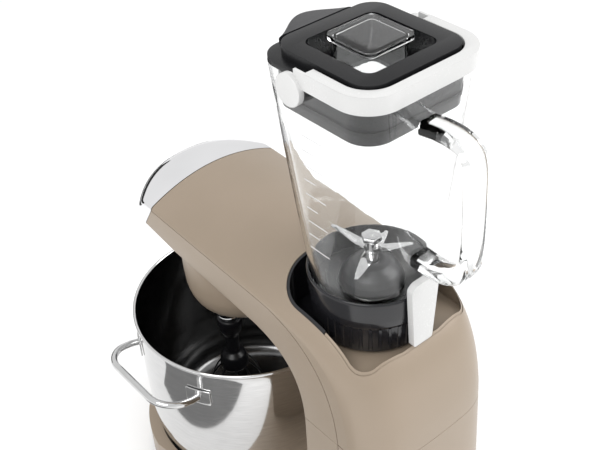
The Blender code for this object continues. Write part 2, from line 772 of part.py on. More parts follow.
def control_board():
    return box("control_board", (0.0016, 0.040, 0.070), (-0.0560, 0.2030, 0.1200), BOARD)


# ---------------------------------------------------------------- drive inside the head


def toothed(teeth, pitch_radius, outward, phase=0.0, addendum=0.0016, dedendum=0.0020):
    """Outline of a gear wheel, or of the toothed hole in a ring when outward is False."""
    step = 2 * math.pi / teeth
    tip = pitch_radius + (addendum if outward else -addendum)
    root = pitch_radius - (dedendum if outward else -dedendum)
    points = []
    for i in range(teeth):
        middle = phase + i * step
        for radius, share in ((root, -0.27), (tip, -0.13), (tip, 0.13), (root, 0.27)):
            angle = middle + share * step
            points.append((radius * math.cos(angle), radius * math.sin(angle)))
    return points


def moved(outline, x, y):
    return [(a + x, b + y) for a, b in outline]


def tilt_chassis():
    """Steel plate across the head's foot, with the two hinge arms that reach the pin."""
    outline = [(-0.0560, 0.1840), (0.0560, 0.1840), (0.0560, 0.2330), (-0.0560, 0.2330)]
    chassis = plate("tilt_chassis", [outline, circle((0.0, MOTOR_Y), 0.0060, 20)], 0.2228, 0.2248, STEEL)
    arms = []
    for x in (-HINGE_ARM_X, HINGE_ARM_X):
        side = arc((TILT_Y, TILT_Z), 0.0078, -120.0, 60.0, 8)
        outline = side + [(0.2250, 0.2240), (0.2050, 0.2240)]
        arms.append(plate(f"hinge_arm_{x}", [outline], x - 0.0018, x + 0.0018, STEEL, "X", CUTTERS))
    join(chassis, *arms)
    hole = lie_along_x(cylinder("arm_pin_hole", 0.0043, -0.05, 0.05, STEEL, steps=24, home=CUTTERS), TILT_Y, TILT_Z)
    return cut(chassis, hole)


def motor():
    """Stator with its windings, rotor shaft, end bracket, pulley and transfer gear."""
    at = (0.0, MOTOR_Y)
    ring("motor_stator", 0.0200, MOTOR_RADIUS, 0.2290, 0.2600, STEEL, at, 20)
    ring("motor_winding", 0.0205, 0.0290, 0.2603, 0.2640, COPPER, at, 20)
    profile = [(0.0, 0.2980), (0.0035, 0.2980), (0.0035, 0.2600), (0.0190, 0.2600), (0.0190, 0.2300)]
    profile += [(0.0035, 0.2300), (0.0035, 0.2252), (0.0, 0.2252)]
    shaft = turned("motor_shaft", profile, STEEL, at, 20)
    bracket = ring("motor_bracket", 0.0038, 0.0300, 0.2645, 0.2670, STEEL, at, 20)
    gear_radius = GEAR_MODULE * TRANSFER_TEETH / 2
    bore = circle(at, 0.0038, 16)
    wheel = moved(toothed(TRANSFER_TEETH, gear_radius, True), *at)
    gear = plate("motor_gear", [wheel, bore], 0.2700, 0.2760, BRASS)
    pulley = ring("motor_pulley", 0.0038, MOTOR_PULLEY_RADIUS, BELT_LOW_Z, BELT_HIGH_Z, STEEL, at, 20)
    pivot("motor_axis", (0.0, MOTOR_Y, 0.25), shaft, gear, pulley)
    return bracket


def blender_coupling():
    """Transfer gear, upright shaft and the dog that turns the jug's blades."""
    at = (0.0, JUG_Y)
    gear_radius = GEAR_MODULE * TRANSFER_TEETH / 2
    wheel = moved(toothed(TRANSFER_TEETH, gear_radius, True, math.pi / 2 + math.pi / TRANSFER_TEETH), *at)
    gear = plate("coupling_gear", [wheel], 0.2700, 0.2760, BRASS)
    profile = [(0.0, 0.3040), (0.0110, 0.3040), (0.0110, 0.3012), (0.0040, 0.3012), (0.0040, 0.2763), (0.0, 0.2763)]
    shaft = turned("drive_coupling", profile, STEEL, at, 16)
    for k in range(4):
        lug = box(f"coupling_lug_{k}", (0.0060, 0.0030, 0.0042), (0.0070, 0.0, 0.3055), STEEL, home=CUTTERS)
        lug.data.transform(Matrix.Rotation(math.radians(90 * k), 4, "Z"))
        lug.location.y += JUG_Y
        join(shaft, lug)
    join(gear, cylinder("gear_boss", 0.0060, 0.2690, 0.2752, BRASS, at, 20, CUTTERS))
    pivot("coupling_axis", (0.0, JUG_Y, 0.29), gear, shaft)
    return shaft


def drive_belt():
    """Flat belt from the motor's pulley to the one over the hub."""

    def loop(extra):
        big = HUB_PULLEY_RADIUS + extra
        small = MOTOR_PULLEY_RADIUS + extra
        lean = math.degrees(math.asin((big - small) / MOTOR_Y))
        near = arc((0.0, 0.0), big, 180.0 - lean, 360.0 + lean, 28)
        far = arc((0.0, MOTOR_Y), small, lean, 180.0 - lean, 10)
        return near + far

    return plate("drive_belt", [loop(GAP + 0.0016), loop(GAP)], BELT_LOW_Z, BELT_HIGH_Z, RUBBER)


def planetary_hub():
    """Pulley, carrier, fixed toothed ring, planet wheel and the bearings in the hub."""
    pulley_profile = [(0.0062, 0.2996), (0.0120, 0.2996), (0.0120, BELT_HIGH_Z), (HUB_PULLEY_RADIUS, BELT_HIGH_Z)]
    pulley_profile += [(HUB_PULLEY_RADIUS, BELT_LOW_Z), (0.0062, BELT_LOW_Z)]
    pulley = turned("hub_pulley", pulley_profile, GREY, steps=28, closed=True)
    plate_ring = ring("hub_bearing_plate", 0.0122, 0.0553, 0.2780, 0.2810, STEEL, steps=28)
    ring("hub_bearing", 0.0062, 0.0119, 0.2775, 0.2815, STEEL, steps=20)
    pitch = GEAR_MODULE * RING_TEETH / 2
    plate("ring_gear", [circle((0.0, 0.0), 0.0545, 32), toothed(RING_TEETH, pitch, False)], 0.2560, 0.2640, STEEL)
    rim = [(0.0, 0.2984), (0.0059, 0.2984), (0.0059, 0.2520), (0.0360, 0.2520), (0.0360, 0.2460)]
    rim += [(0.0366, 0.2050), (0.0366, 0.1990), (0.0, 0.1990)]
    carrier = turned("planet_carrier", rim, CHROME, steps=28)
    planet_radius = GEAR_MODULE * PLANET_TEETH / 2
    wheel = toothed(PLANET_TEETH, planet_radius, True, math.pi / PLANET_TEETH)
    planet = plate("planet_gear", [moved(wheel, TOOL_OFFSET, 0.0), circle((TOOL_OFFSET, 0.0), 0.0048, 20)], 0.2565, 0.2635, BRASS)
    shaft_room = cylinder("spindle_room", 0.0050, 0.1900, 0.2700, STEEL, (TOOL_OFFSET, 0.0), 24, CUTTERS)
    cut(carrier, shaft_room)
    sleeve_room = cylinder("sleeve_room", 0.0126, 0.1900, 0.2035, STEEL, (TOOL_OFFSET, 0.0), 28, CUTTERS)
    cut(carrier, sleeve_room)
    profile = [(0.0, 0.2640), (0.0045, 0.2640), (0.0045, 0.2030), (0.0120, 0.2030), (0.0120, 0.1920)]
    profile += [(0.0100, 0.1860), (0.0, 0.1860)]
    spindle = turned("tool_spindle", profile, CHROME, (TOOL_OFFSET, 0.0), 20)
    pivot("carrier_axis", (0.0, 0.0, 0.25), pulley, carrier)
    pivot("tool_axis", (TOOL_OFFSET, 0.0, 0.22), planet, spindle)
    return plate_ring


def whisk():
    """Balloon whisk: a moulded hub on a rod, and crossed wire loops."""
    at = (TOOL_OFFSET, 0.0)
    profile = [(0.0, 0.1857), (0.0125, 0.1857), (0.0135, 0.1800), (0.0115, 0.1680), (0.0075, 0.1610), (0.0070, 0.1380)]
    profile += [(0.0130, 0.1330), (0.0150, 0.1240), (0.0150, 0.1180), (0.0, 0.1180)]
    hub = turned("whisk_hub", profile, BLACK, at, 20)
    loops = []
    half = bezier((0.0100, 0.1230), (0.0300, 0.1050), (0.0640, 0.0370), (0.0, 0.0370), 7)
    outline = half + [(0.0, 0.0370)] + [(-r, z) for r, z in reversed(half)]
    for k in range(WHISK_LOOPS):
        turn = math.pi * k / WHISK_LOOPS
        path = [
            (TOOL_OFFSET + r * math.cos(turn), r * math.sin(turn), z - 0.0008 * k) for r, z in outline
        ]
        loops.append(tube(f"whisk_loop_{k}", path, WIRE_RADIUS, STEEL, sides=0, home=CUTTERS))
    return hub, loops


# ---------------------------------------------------------------- bowl


def bowl():
    """Deep bowl with a rolled rim, on a narrow foot ring."""
    wall = 0.0014
    outer = [(0.1150, BOWL_RIM_Z), (0.1158, BOWL_RIM_Z - 0.0022), (0.1150, BOWL_RIM_Z - 0.0045), (0.1136, BOWL_RIM_Z - 0.0050)]
    outer += [(0.1130, 0.1500), (0.1120, 0.0800), (0.1090, 0.0580), (0.1035, 0.0430), (0.0960, 0.0315)]
    outer += [(0.0850, 0.0260), (0.0640, 0.0250), (0.0632, 0.0215), (0.0600, 0.0215), (0.0600, 0.0246)]
    inner = [(0.0, 0.0246), (0.0, 0.0262), (0.0640, 0.0266), (0.0845, 0.0274), (0.0950, 0.0328)]
    inner += [(0.1022, 0.0440), (0.1076, 0.0586), (0.1106, 0.0803), (0.1116, 0.1500), (0.1122, BOWL_RIM_Z - 0.0040)]
    inner += [(0.1135, BOWL_RIM_Z)]
    return turned("bowl", outer + inner, STAINLESS, steps=28, closed=True)


def bowl_handle(name, side):
    """Bent rod between two welded plates, standing off the bowl's wall."""
    height = 0.165
    spread = math.radians(27.0)
    root = 0.1156
    reach = 0.1415
    half = root * math.sin(spread)
    start = root * math.cos(spread)
    bend = 0.026
    path = [(start, -half, height), (start + 0.008, -half - 0.001, height)]
    path += [(x, y, height) for x, y in arc((reach - bend, -half - 0.001 + bend), bend, -80.0, 0.0, 6)]
    path += [(x, y, height) for x, y in arc((reach - bend, half + 0.001 - bend), bend, 0.0, 80.0, 6)]
    path += [(start + 0.008, half + 0.001, height), (start, half, height)]
    path = [(side * x, y, z) for x, y, z in path]
    rod = tube(name, path, 0.0035, STAINLESS, sides=2)
    for end in (-1, 1):
        join(rod, handle_bracket(f"{name}_plate_{end}", side, end * 27.0))
    return rod


def handle_bracket(name, side, angle):
    """Curved plate where a handle is welded to the bowl."""
    outer = arc((0.0, 0.0), 0.1152, angle - 6.5, angle + 6.5, 4)
    inner = arc((0.0, 0.0), 0.1138, angle + 6.5, angle - 6.5, 4)
    outline = [(side * x, y) for x, y in outer + inner]
    return plate(name, [outline], 0.1560, 0.1740, STAINLESS, "Z", CUTTERS)


# ---------------------------------------------------------------- blender jug


def jug_ring(z, grow=0.0):
    """Outline of the jug at a height: round at the foot and nearly square at the mouth."""
    share = (z - GLASS_LOW_Z) / (GLASS_TOP_Z - GLASS_LOW_Z)
    half = 0.0495 + 0.0080 * share + 0.0006 * math.sin(math.pi * share) + grow
    squaring = min(1.0, max(0.0, (share - ROUND_FOOT_SHARE) / (1.0 - ROUND_FOOT_SHARE)))
    corner = half * (0.9999 - 0.66 * squaring**0.8)
    outline = rounded_square(half, corner, 4, (0.0, JUG_Y))
    return [(x, y, z) for x, y in outline]


def jug_handle():
    """Thick glass handle down the back of the jug."""
    line = [(0.2380, 0.5125)] + bezier((0.2560, 0.5150), (0.2795, 0.5170), (0.2915, 0.5120), (0.2910, 0.4900), 5)
    line += bezier((0.2910, 0.4900), (0.2930, 0.4500), (0.2940, 0.4300), (0.2895, 0.4150), 3)
    line += bezier((0.2895, 0.4150), (0.2855, 0.4000), (0.2745, 0.3935), (0.2560, 0.3930), 4)
    line += [(0.2560, 0.3930), (0.2330, 0.3940)]
    points = np.array(line)
    run = np.gradient(points, axis=0)
    run /= np.linalg.norm(run, axis=1)[:, None]
    rings = []
    for (y, z), (dy, dz) in zip(points, run):
        outward = (-dz, dy)
        section = [(0.0100, 0.0035), (0.0060, 0.0065), (-0.0060, 0.0065), (-0.0100, 0.0035)]
        section += [(-0.0100, -0.0035), (-0.0060, -0.0065), (0.0060, -0.0065), (0.0100, -0.0035)]
        rings.append([(a, y + outward[0] * b, z + outward[1] * b) for a, b in section])
    return loft("jug_handle_bar", rings, GLASS, CUTTERS)


def spout(name, reach, grow, low, high, finish, home):
    """Wedge that points forward from the jug's mouth."""
    front = JUG_Y - reach
    back = JUG_Y - 0.0400
    half = 0.0200 + grow
    top = [(half, back), (0.0080 + grow, front), (-0.0080 - grow, front), (-half, back)]
    bottom = [(half, back), (0.0060 + grow, back - 0.0050), (-0.0060 - grow, back - 0.0050), (-half, back)]
    rings = [[(x, y, low) for x, y in bottom], [(x, y, high) for x, y in top]]
    return loft(name, rings, finish, home)


def jug_glass():
    """Tall jug, round below and square above, with its spout and handle."""
    heights = [GLASS_LOW_Z + (GLASS_TOP_Z - GLASS_LOW_Z) * k / 8 for k in range(9)]
    outer = [jug_ring(z) for z in heights]
    glass = loft("jug_glass", outer, GLASS)
    join(glass, jug_handle())
    join(glass, spout("spout_outside", 0.0800, 0.0, 0.4950, GLASS_TOP_Z - 0.0002, GLASS, CUTTERS))
    inside = [GLASS_LOW_Z + 0.0060] + heights[1:] + [GLASS_TOP_Z + 0.0100]
    hollow = loft("jug_hollow", [jug_ring(z, -GLASS_WALL) for z in inside], GLASS, CUTTERS)
    throat = spout("spout_inside", 0.0765, -0.0030, 0.4990, GLASS_TOP_Z + 0.0100, GLASS, CUTTERS)
    floor_hole = cylinder("jug_floor_hole", 0.0230, 0.3200, 0.3500, GLASS, (0.0, JUG_Y), 32, CUTTERS)
    return cut(glass, hollow, throat, floor_hole)


def jug_collar():
    """Ribbed dark ring that holds the glass and stands in the well."""
    profile = [(0.0512, 0.3560), (0.0530, 0.3575), (0.0540, 0.3560), (0.0530, 0.3380), (0.0520, 0.3300)]
    profile += [(0.0505, 0.3260), (0.0495, JUG_FOOT_Z + 0.0010), (0.0487, JUG_FOOT_Z), (0.0450, JUG_FOOT_Z)]
    profile += [(0.0455, 0.3225), (0.0260, 0.3225), (0.0260, 0.3280), (0.0492, 0.3280), (0.0500, 0.3345)]
    collar = turned("jug_collar", profile, BLACK, (0.0, JUG_Y), 28, closed=True)
    ribs = moved(toothed(20, 0.0500, True, 0.0, 0.0010, 0.0012), 0.0, JUG_Y)
    band = plate("collar_ribs", [ribs, circle((0.0, JUG_Y), 0.0470, 32)], 0.3060, 0.3255, BLACK, "Z", CUTTERS)
    join(collar, band)
    return collar


def collar_lug():
    """White lock tab at the foot of the handle."""
    outline = [(-0.0095, 0.3100), (0.0110, 0.3100), (0.0150, 0.3700), (0.0100, 0.3745), (-0.0100, 0.3745), (-0.0150, 0.3700)]
    lug = plate("collar_lug", [outline], JUG_Y + 0.0545, JUG_Y + 0.0605, WHITE, "Y")
    rounding = lug.modifiers.new("Round", "BEVEL")
    rounding.width = 0.0012
    rounding.segments = 2
    return lug


def blade_unit():
    """Seal, bearing body, shaft with its dog, nut and the four blades."""
    at = (0.0, JUG_Y)
    ring("jug_seal", 0.0265, 0.0489, 0.3283, 0.3340, RUBBER, at, 24)
    body = [(0.0056, 0.3620), (0.0130, 0.3620), (0.0210, 0.3560), (0.0270, 0.3440), (0.0270, 0.3412), (0.0225, 0.3412)]
    body += [(0.0225, 0.3410), (0.0225, 0.3120), (0.0056, 0.3120)]
    bearing = turned("blade_bearing", body, GREY, at, 20, closed=True)
    profile = [(0.0, 0.3820), (0.0052, 0.3820), (0.0052, 0.3110), (0.0110, 0.3110), (0.0110, 0.3080), (0.0, 0.3080)]
    shaft = turned("blade_shaft", profile, STEEL, at, 16)
    for k in range(4):
        lug = box(f"dog_lug_{k}", (0.0060, 0.0030, 0.0040), (0.0070, 0.0, 0.3064), STEEL, home=CUTTERS)
        lug.data.transform(Matrix.Rotation(math.radians(90 * k + 45), 4, "Z"))
        lug.location.y += JUG_Y
        join(shaft, lug)
    nut = plate("blade_nut", [circle(at, 0.0085, 6)], 0.3823, 0.3870, STEEL)
    blades = []
    for name, z, turn, lift in (("blade_low", 0.3690, 25.0, -0.0035), ("blade_high", 0.3750, 115.0, 0.0110)):
        half = [(0.0, 0.0), (0.0100, 0.0), (0.0330, lift)]
        outline = half + [(0.0335, lift + 0.0012), (0.0100, 0.0014)]
        mirrored = [(-a, b) for a, b in reversed(outline[1:])]
        blade = plate(name, [[(a, b) for a, b in outline[1:]] + mirrored], -0.0055, 0.0055, STEEL, "Y")
        turning = Matrix.Translation((0.0, JUG_Y, z)) @ Matrix.Rotation(math.radians(turn), 4, "Z")
        blade.data.transform(turning)
        cut(blade, cylinder(name + "_hole", 0.0055, 0.35, 0.40, STEEL, at, 20, CUTTERS))
        blades.append(blade)
    pivot("blade_axis", (0.0, JUG_Y, 0.35), shaft, nut, *blades)
    return bearing


def lid():
    """Dark lid: a plug in the jug's mouth, a flange on its rim and a raised square frame."""
    centre = (0.0, JUG_Y)
    low = GLASS_TOP_Z + GAP
    flange = plate("lid_cover", [rounded_square(0.0575, 0.0200, 5, centre)], low, low + 0.0040, BLACK)
    frame = plate("lid_frame", [rounded_square(0.0495, 0.0170, 5, centre)], low + 0.002, LID_TOP_Z, BLACK, "Z", CUTTERS)
    plug_ring = rounded_square(0.0515, 0.0200, 5, centre)
    plug = plate("lid_plug", [plug_ring], 0.5120, low + 0.002, BLACK, "Z", CUTTERS)
    join(flange, frame, plug)
    recess = plate("lid_recess", [rounded_square(0.0345, 0.0080, 4, centre)], 0.5300, 0.60, BLACK, "Z", CUTTERS)
    hollow = plate("plug_hollow", [rounded_square(0.0480, 0.0170, 5, centre)], 0.50, 0.5270, BLACK, "Z", CUTTERS)
    mouth = plate("cup_mouth", [rounded_square(0.0205, 0.0050, 4, centre)], 0.50, 0.60, BLACK, "Z", CUTTERS)
    cut(flange, recess, hollow, mouth)
    cover = spout("spout_cover", 0.0815, 0.0020, 0.5375, 0.5520, GREY, PARTS)
    cut(
        cover,
        plate("cover_limit", [rounded_square(0.0582, 0.0200, 5, centre)], 0.50, 0.60, BLACK, "Z", CUTTERS),
        box("cover_under", (0.1, 0.1, 0.02), (0.0, JUG_Y - 0.07, 0.5345), BLACK, home=CUTTERS),
    )
    gasket_out = rounded_square(0.0527, 0.0205, 5, centre)
    plate("lid_gasket", [gasket_out, rounded_square(0.0518, 0.0203, 5, centre)], 0.5200, 0.5230, RUBBER)
    return flange


def bail_line(half, corner, end):
    """Open U round the back of the lid, from its right end to its left one."""
    hub = half - corner
    right = [(half, end)] + arc((hub, JUG_Y + hub), corner, 0.0, 90.0, 6)
    return right + [(-x, y) for x, y in reversed(right)]


def lid_bail():
    """White U round the lid, on two round bosses at its sides."""
    end = BAIL_Y + 0.0040
    outer = bail_line(BAIL_HALF, 0.0280, end)
    inner = bail_line(BAIL_HALF - 0.0022, 0.0243, end)
    bail = plate("lid_bail", [outer + inner[::-1]], 0.5410, BAIL_TOP_Z - 0.0005, WHITE)
    end = BAIL_Y + 0.0150
    outer = bail_line(BAIL_HALF - 0.0002, 0.0278, end)
    inner = bail_line(BAIL_HALF - 0.0088, 0.0225, end)
    top = plate("bail_top", [outer + inner[::-1]], BAIL_TOP_Z - 0.0056, BAIL_TOP_Z, WHITE, "Z", CUTTERS)
    join(bail, top)
    for side in (-1, 1):
        boss = cylinder(f"bail_boss_{side}", 0.0128, -0.0028, 0.0028, WHITE, steps=24, home=CUTTERS)
        lie_along_x(boss, BAIL_Y, BAIL_Z).location.x = side * (BAIL_HALF + 0.0006)
        join(bail, boss)
    pivot("bail_axis", (0.0, BAIL_Y, BAIL_Z), bail)
    return bail


def measuring_cup():
    """Clear square cup that fills the hole in the lid, open underneath."""
    centre = (0.0, JUG_Y)
    top = 0.5625
    cup = plate("measuring_cup", [rounded_square(0.0200, 0.0050, 4, centre)], 0.5150, top - 0.002, CLEAR)
    flange = plate("cup_flange", [rounded_square(0.0232, 0.0060, 4, centre)], top - 0.0040, top, CLEAR, "Z", CUTTERS)
    inside = plate("cup_inside", [rounded_square(0.0180, 0.0040, 4, centre)], 0.50, top - 0.0025, CLEAR, "Z", CUTTERS)
    join(cup, flange)
    return cut(cup, inside)


# ---------------------------------------------------------------- assembly


def main():
    base_shell()
    base_plate()
    for name, place in FOOT_PLACES.items():
        rubber_foot(name, place)
    bowl_seat()
    speed_knob()
    release_button()
    column_front_shell()
    column_rear_cover()
    column_frame()
    column_top_plate()
    hinge_pin()
    tilt_spring()
    power_inlet()
    control_board()

    head_top_cover()
    head_lower_shell()
    nose_cap()
    well_liner()
    well_ledge()
    tilt_chassis()
    motor()
    blender_coupling()
    drive_belt()
    planetary_hub()

    hub, loops = whisk()
    join(hub, *loops)
    bowl()
    bowl_handle("bowl_handle_right", 1)
    bowl_handle("bowl_handle_left", -1)

    jug_glass()
    jug_collar()
    collar_lug()
    blade_unit()
    lid()
    lid_bail()
    measuring_cup()


main()
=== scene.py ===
"""Stand mixer with a blender jug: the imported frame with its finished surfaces, light and camera."""

import json
import math

import bmesh
import bpy
import numpy as np
from mathutils import Matrix, Vector


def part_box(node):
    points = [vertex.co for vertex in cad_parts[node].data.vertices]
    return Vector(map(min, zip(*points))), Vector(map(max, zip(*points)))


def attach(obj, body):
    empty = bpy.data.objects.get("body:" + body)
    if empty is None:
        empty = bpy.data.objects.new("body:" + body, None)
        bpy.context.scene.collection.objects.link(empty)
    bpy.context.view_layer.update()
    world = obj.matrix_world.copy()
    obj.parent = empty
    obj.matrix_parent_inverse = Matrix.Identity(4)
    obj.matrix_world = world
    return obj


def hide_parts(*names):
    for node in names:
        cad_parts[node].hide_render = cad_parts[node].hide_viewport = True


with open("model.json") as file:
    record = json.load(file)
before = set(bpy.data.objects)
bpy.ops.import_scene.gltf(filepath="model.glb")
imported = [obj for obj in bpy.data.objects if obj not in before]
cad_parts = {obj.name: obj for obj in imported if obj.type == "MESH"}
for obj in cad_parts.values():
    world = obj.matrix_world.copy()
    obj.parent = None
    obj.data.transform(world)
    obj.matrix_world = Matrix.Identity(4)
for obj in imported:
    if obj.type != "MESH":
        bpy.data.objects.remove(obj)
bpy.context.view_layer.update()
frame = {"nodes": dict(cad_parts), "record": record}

BOWL_LOW, BOWL_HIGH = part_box("bowl")
BOWL_Y = (BOWL_LOW.y + BOWL_HIGH.y) / 2  # the bowl's axis, from which every Y below is measured
FINE = 3  # how many times finer the curves are than the frame's
SEAM = 0.0007  # width of the dark lines between the covers

BOWL_RIM_Z = 0.200
HALF_WIDTH = 0.0737  # of the head and the column

GAP = 0.0003  # between pieces that touch
SHELL = 0.0026  # wall of the moulded covers
TOP_EDGE_RADIUS = 0.0030  # along the sides of the nose, the top and the back
UNDER_EDGE_RADIUS = 0.0026  # along the arm's underside and the column's front

# Head and column, seen from the side
CREST_Z = 0.349
SHOULDER_Y = 0.125
NOSE_SPLIT_Y = -0.0322
NOSE_FOOT_Y = -0.0660
UNDER_FRONT_Z = 0.3050  # of the arm's underside, at its sides
UNDER_BOW = 0.0055  # how much lower the underside is along the middle
COLUMN_FRONT_Y = 0.180
COLUMN_FOOT_Z = 0.030
COLUMN_START_Z = 0.0453
CREST_DROP = 0.0178  # how far the top falls from the middle to its sides, at the nose
SHOULDER_DROP = 0.0245  # the same where the shoulder starts
BACK_DROP = 0.0030
CORNER_DROP = 0.0307  # round the back's upright corners
NOSE_DROP = 0.588  # share of the nose's length lost at its sides

# Tilting joint
TILT_Y = 0.258
TILT_Z = 0.180
TILT_SPLIT_Z = 0.220

# Controls on the column's right side
KNOB_Y = 0.2010
KNOB_Z = 0.1050
BUTTON_Y = 0.2010
BUTTON_Z = 0.1650

# Base
BASE_RADIUS = 0.1200
BASE_TOP_Z = 0.0450
BASE_LOW_Z = 0.0085
BASE_BACK_Y = 0.2840
BASE_BACK_HALF = 0.0830
RECESS_RADIUS = 0.1075
RECESS_Z = 0.0170
SEAT_Z = 0.0215

# Mixing drive
TOOL_OFFSET = 0.0225

# Blender jug
JUG_Y = 0.1884
JUG_FOOT_Z = 0.3030
GLASS_LOW_Z = 0.3345
GLASS_TOP_Z = 0.5440
GLASS_WALL = 0.0032
ROUND_FOOT_SHARE = 0.12  # of the glass's height that stays round
WELL_HALF = 0.0632
WELL_FRONT_Y = 0.1305
WELL_BACK_Y = 0.2485
WELL_FLOOR_Z = 0.2985
WELL_FLOOR_THICKNESS = 0.0018
LID_TOP_Z = 0.5564
BAIL_Y = JUG_Y - 0.0155
BAIL_Z = 0.5370
BAIL_HALF = 0.0614
BAIL_TOP_Z = 0.5548
MARK_COUNT = 9
MARK_LOW_Z = 0.395
MARK_STEP = 0.0130

PIECES = bpy.data.collections.new("stand_mixer_look")
CUTTERS = bpy.data.collections.new("look_cutters")
bpy.context.scene.collection.children.link(PIECES)
bpy.context.scene.collection.children.link(CUTTERS)


# ---------------------------------------------------------------- modelling helpers


def add(name, mesh):
    """An object for a mesh whose Y runs from the bowl's axis."""
    mesh.transform(Matrix.Translation((0.0, BOWL_Y, 0.0)))
    obj = bpy.data.objects.new(name, mesh)
    PIECES.objects.link(obj)
    return obj


def mesh_of(bm, name):
    bmesh.ops.recalc_face_normals(bm, faces=bm.faces)
    mesh = bpy.data.meshes.new(name)
    bm.to_mesh(mesh)
    bm.free()
    return mesh


def loft(name, rings, triangles=False):
    """Solid through closed rings that all have the same number of points."""
    bm = bmesh.new()
    loops = [[bm.verts.new(point) for point in ring] for ring in rings]
    for low, high in zip(loops, loops[1:]):
        for i in range(len(low)):
            j = (i + 1) % len(low)
            bm.faces.new((low[i], low[j], high[j], high[i]))
    if triangles:
        bmesh.ops.triangulate(bm, faces=bm.faces)
    bm.faces.new(loops[0])
    bm.faces.new(loops[-1])
    return add(name, mesh_of(bm, name))


def eased(profile, reach, closed=False):
    """A line with each corner rounded, by at most reach."""
    points = [Vector(p) for p in profile]
    count = len(points)
    made = []
    for i, corner in enumerate(points):
        if not closed and i in (0, count - 1):
            made.append(tuple(corner))
            continue
        before = points[i - 1] - corner
        after = points[(i + 1) % count] - corner
        size = min(reach, 0.45 * before.length, 0.45 * after.length)
        start = corner + before.normalized() * size
        end = corner + after.normalized() * size
        for t in (0.0, 0.25, 0.5, 0.75, 1.0):
            made.append(tuple(start * (1 - t) ** 2 + corner * 2 * t * (1 - t) + end * t * t))
    return made


def turned(name, profile, at=(0.0, 0.0), steps=96, closed=False, reach=0.0008):
    """Body of revolution about an upright axis."""
    line = eased(profile, reach, closed) if reach else profile
    count = len(line)
    bm = bmesh.new()
    loops = []
    for r, z in line:
        if r < 1e-6:
            loops.append([bm.verts.new((at[0], at[1], z))] * steps)
            continue
        turn = [2 * math.pi * k / steps for k in range(steps)]
        loops.append([bm.verts.new((at[0] + r * math.cos(a), at[1] + r * math.sin(a), z)) for a in turn])
    for i in range(count if closed else count - 1):
        low, high = loops[i], loops[(i + 1) % count]
        for k in range(steps):
            j = (k + 1) % steps
            corners = list(dict.fromkeys((low[k], low[j], high[j], high[k])))
            if len(corners) > 2:
                bm.faces.new(corners)
    return add(name, mesh_of(bm, name))


def drum(name, radius, low, high, at=(0.0, 0.0)):
    """Plain upright cylinder, to cut with."""
    return turned(name, [(0.0, high), (radius, high), (radius, low), (0.0, low)], at, reach=0)


def placed(obj, turn, x, y, z):
    """Turns a piece about the point it was drawn round, then moves that point."""
    for step in (Matrix.Translation((0.0, -BOWL_Y, 0.0)), turn, Matrix.Translation((x, BOWL_Y + y, z))):
        obj.data.transform(step)
    return obj


def along_x(obj, y, z):
    """Turns an upright piece so that its own axis runs along X, out of the machine's right side."""
    return placed(obj, Matrix.Rotation(math.pi / 2, 4, "Y"), HALF_WIDTH, y, z)


PLANES = {
    "Z": Matrix.Identity(4),
    "X": Matrix(((0, 0, 1, 0), (1, 0, 0, 0), (0, 1, 0, 0), (0, 0, 0, 1))),
    "Y": Matrix(((1, 0, 0, 0), (0, 0, -1, 0), (0, 1, 0, 0), (0, 0, 0, 1))),
}


def mesh_from_curve(curve, name):
    guide = bpy.data.objects.new(name + "_guide", curve)
    CUTTERS.objects.link(guide)
    bpy.context.view_layer.update()
    graph = bpy.context.evaluated_depsgraph_get()
    mesh = bpy.data.meshes.new_from_object(guide.evaluated_get(graph))
    bpy.data.objects.remove(guide, do_unlink=True)
    bm = bmesh.new()
    bm.from_mesh(mesh)
    bmesh.ops.remove_doubles(bm, verts=bm.verts, dist=0.00001)
    return mesh_of(bm, name)


def plate(name, outlines, low, high, across="Z", edge=0.0):
    """Flat piece from low to high across an axis: the first outline, less the others."""
    curve = bpy.data.curves.new(name, "CURVE")
    curve.dimensions = "2D"
    curve.fill_mode = "BOTH"
    curve.extrude = (high - low) / 2
    for outline in outlines:
        spline = curve.splines.new("POLY")
        spline.points.add(len(outline) - 1)
        for point, (a, b) in zip(spline.points, outline):
            point.co = (a, b, 0.0, 1.0)
        spline.use_cyclic_u = True
    mesh = mesh_from_curve(curve, name)
    middle = (low + high) / 2
    shift = Matrix.Translation((0.0, 0.0, -middle if across == "Y" else middle))
    mesh.transform(PLANES[across] @ shift)
    obj = add(name, mesh)
    return soften(obj, edge) if edge else obj


def tube(name, points, radius, sides):
    """Round rod along a line of points."""
    curve = bpy.data.curves.new(name, "CURVE")
    curve.dimensions = "3D"
    curve.bevel_depth = radius
    curve.bevel_resolution = sides
    curve.use_fill_caps = True
    spline = curve.splines.new("POLY")
    spline.points.add(len(points) - 1)
    for point, place in zip(spline.points, points):
        point.co = (*place, 1.0)
    return add(name, mesh_from_curve(curve, name))


def applied(obj):
    """The object with its modifiers turned into mesh."""
    bpy.context.view_layer.update()
    graph = bpy.context.evaluated_depsgraph_get()
    mesh = bpy.data.meshes.new_from_object(obj.evaluated_get(graph))
    obj.modifiers.clear()
    obj.data = mesh
    return obj


def soften(obj, width, segments=3, angle=40):
    """Rounds the sharp edges."""
    rounding = obj.modifiers.new("Round", "BEVEL")
    rounding.width = width
    rounding.segments = segments
    rounding.limit_method = "ANGLE"
    rounding.angle_limit = math.radians(angle)
    return applied(obj)


def combine(obj, operation, *others):
    """Boolean with each of the others; a result that lost the piece is made again the fast way."""
    for other in others:
        kept = obj.data.copy()
        wanted = len(kept.vertices) if operation == "UNION" else 1
        for solver in ("EXACT", "FAST"):
            obj.data = kept.copy()
            change = obj.modifiers.new(operation.title(), "BOOLEAN")
            change.operation = operation
            change.solver = solver
            change.object = other
            applied(obj)
            if len(obj.data.vertices) >= 0.9 * wanted:
                break
        bpy.data.objects.remove(other, do_unlink=True)
    return obj


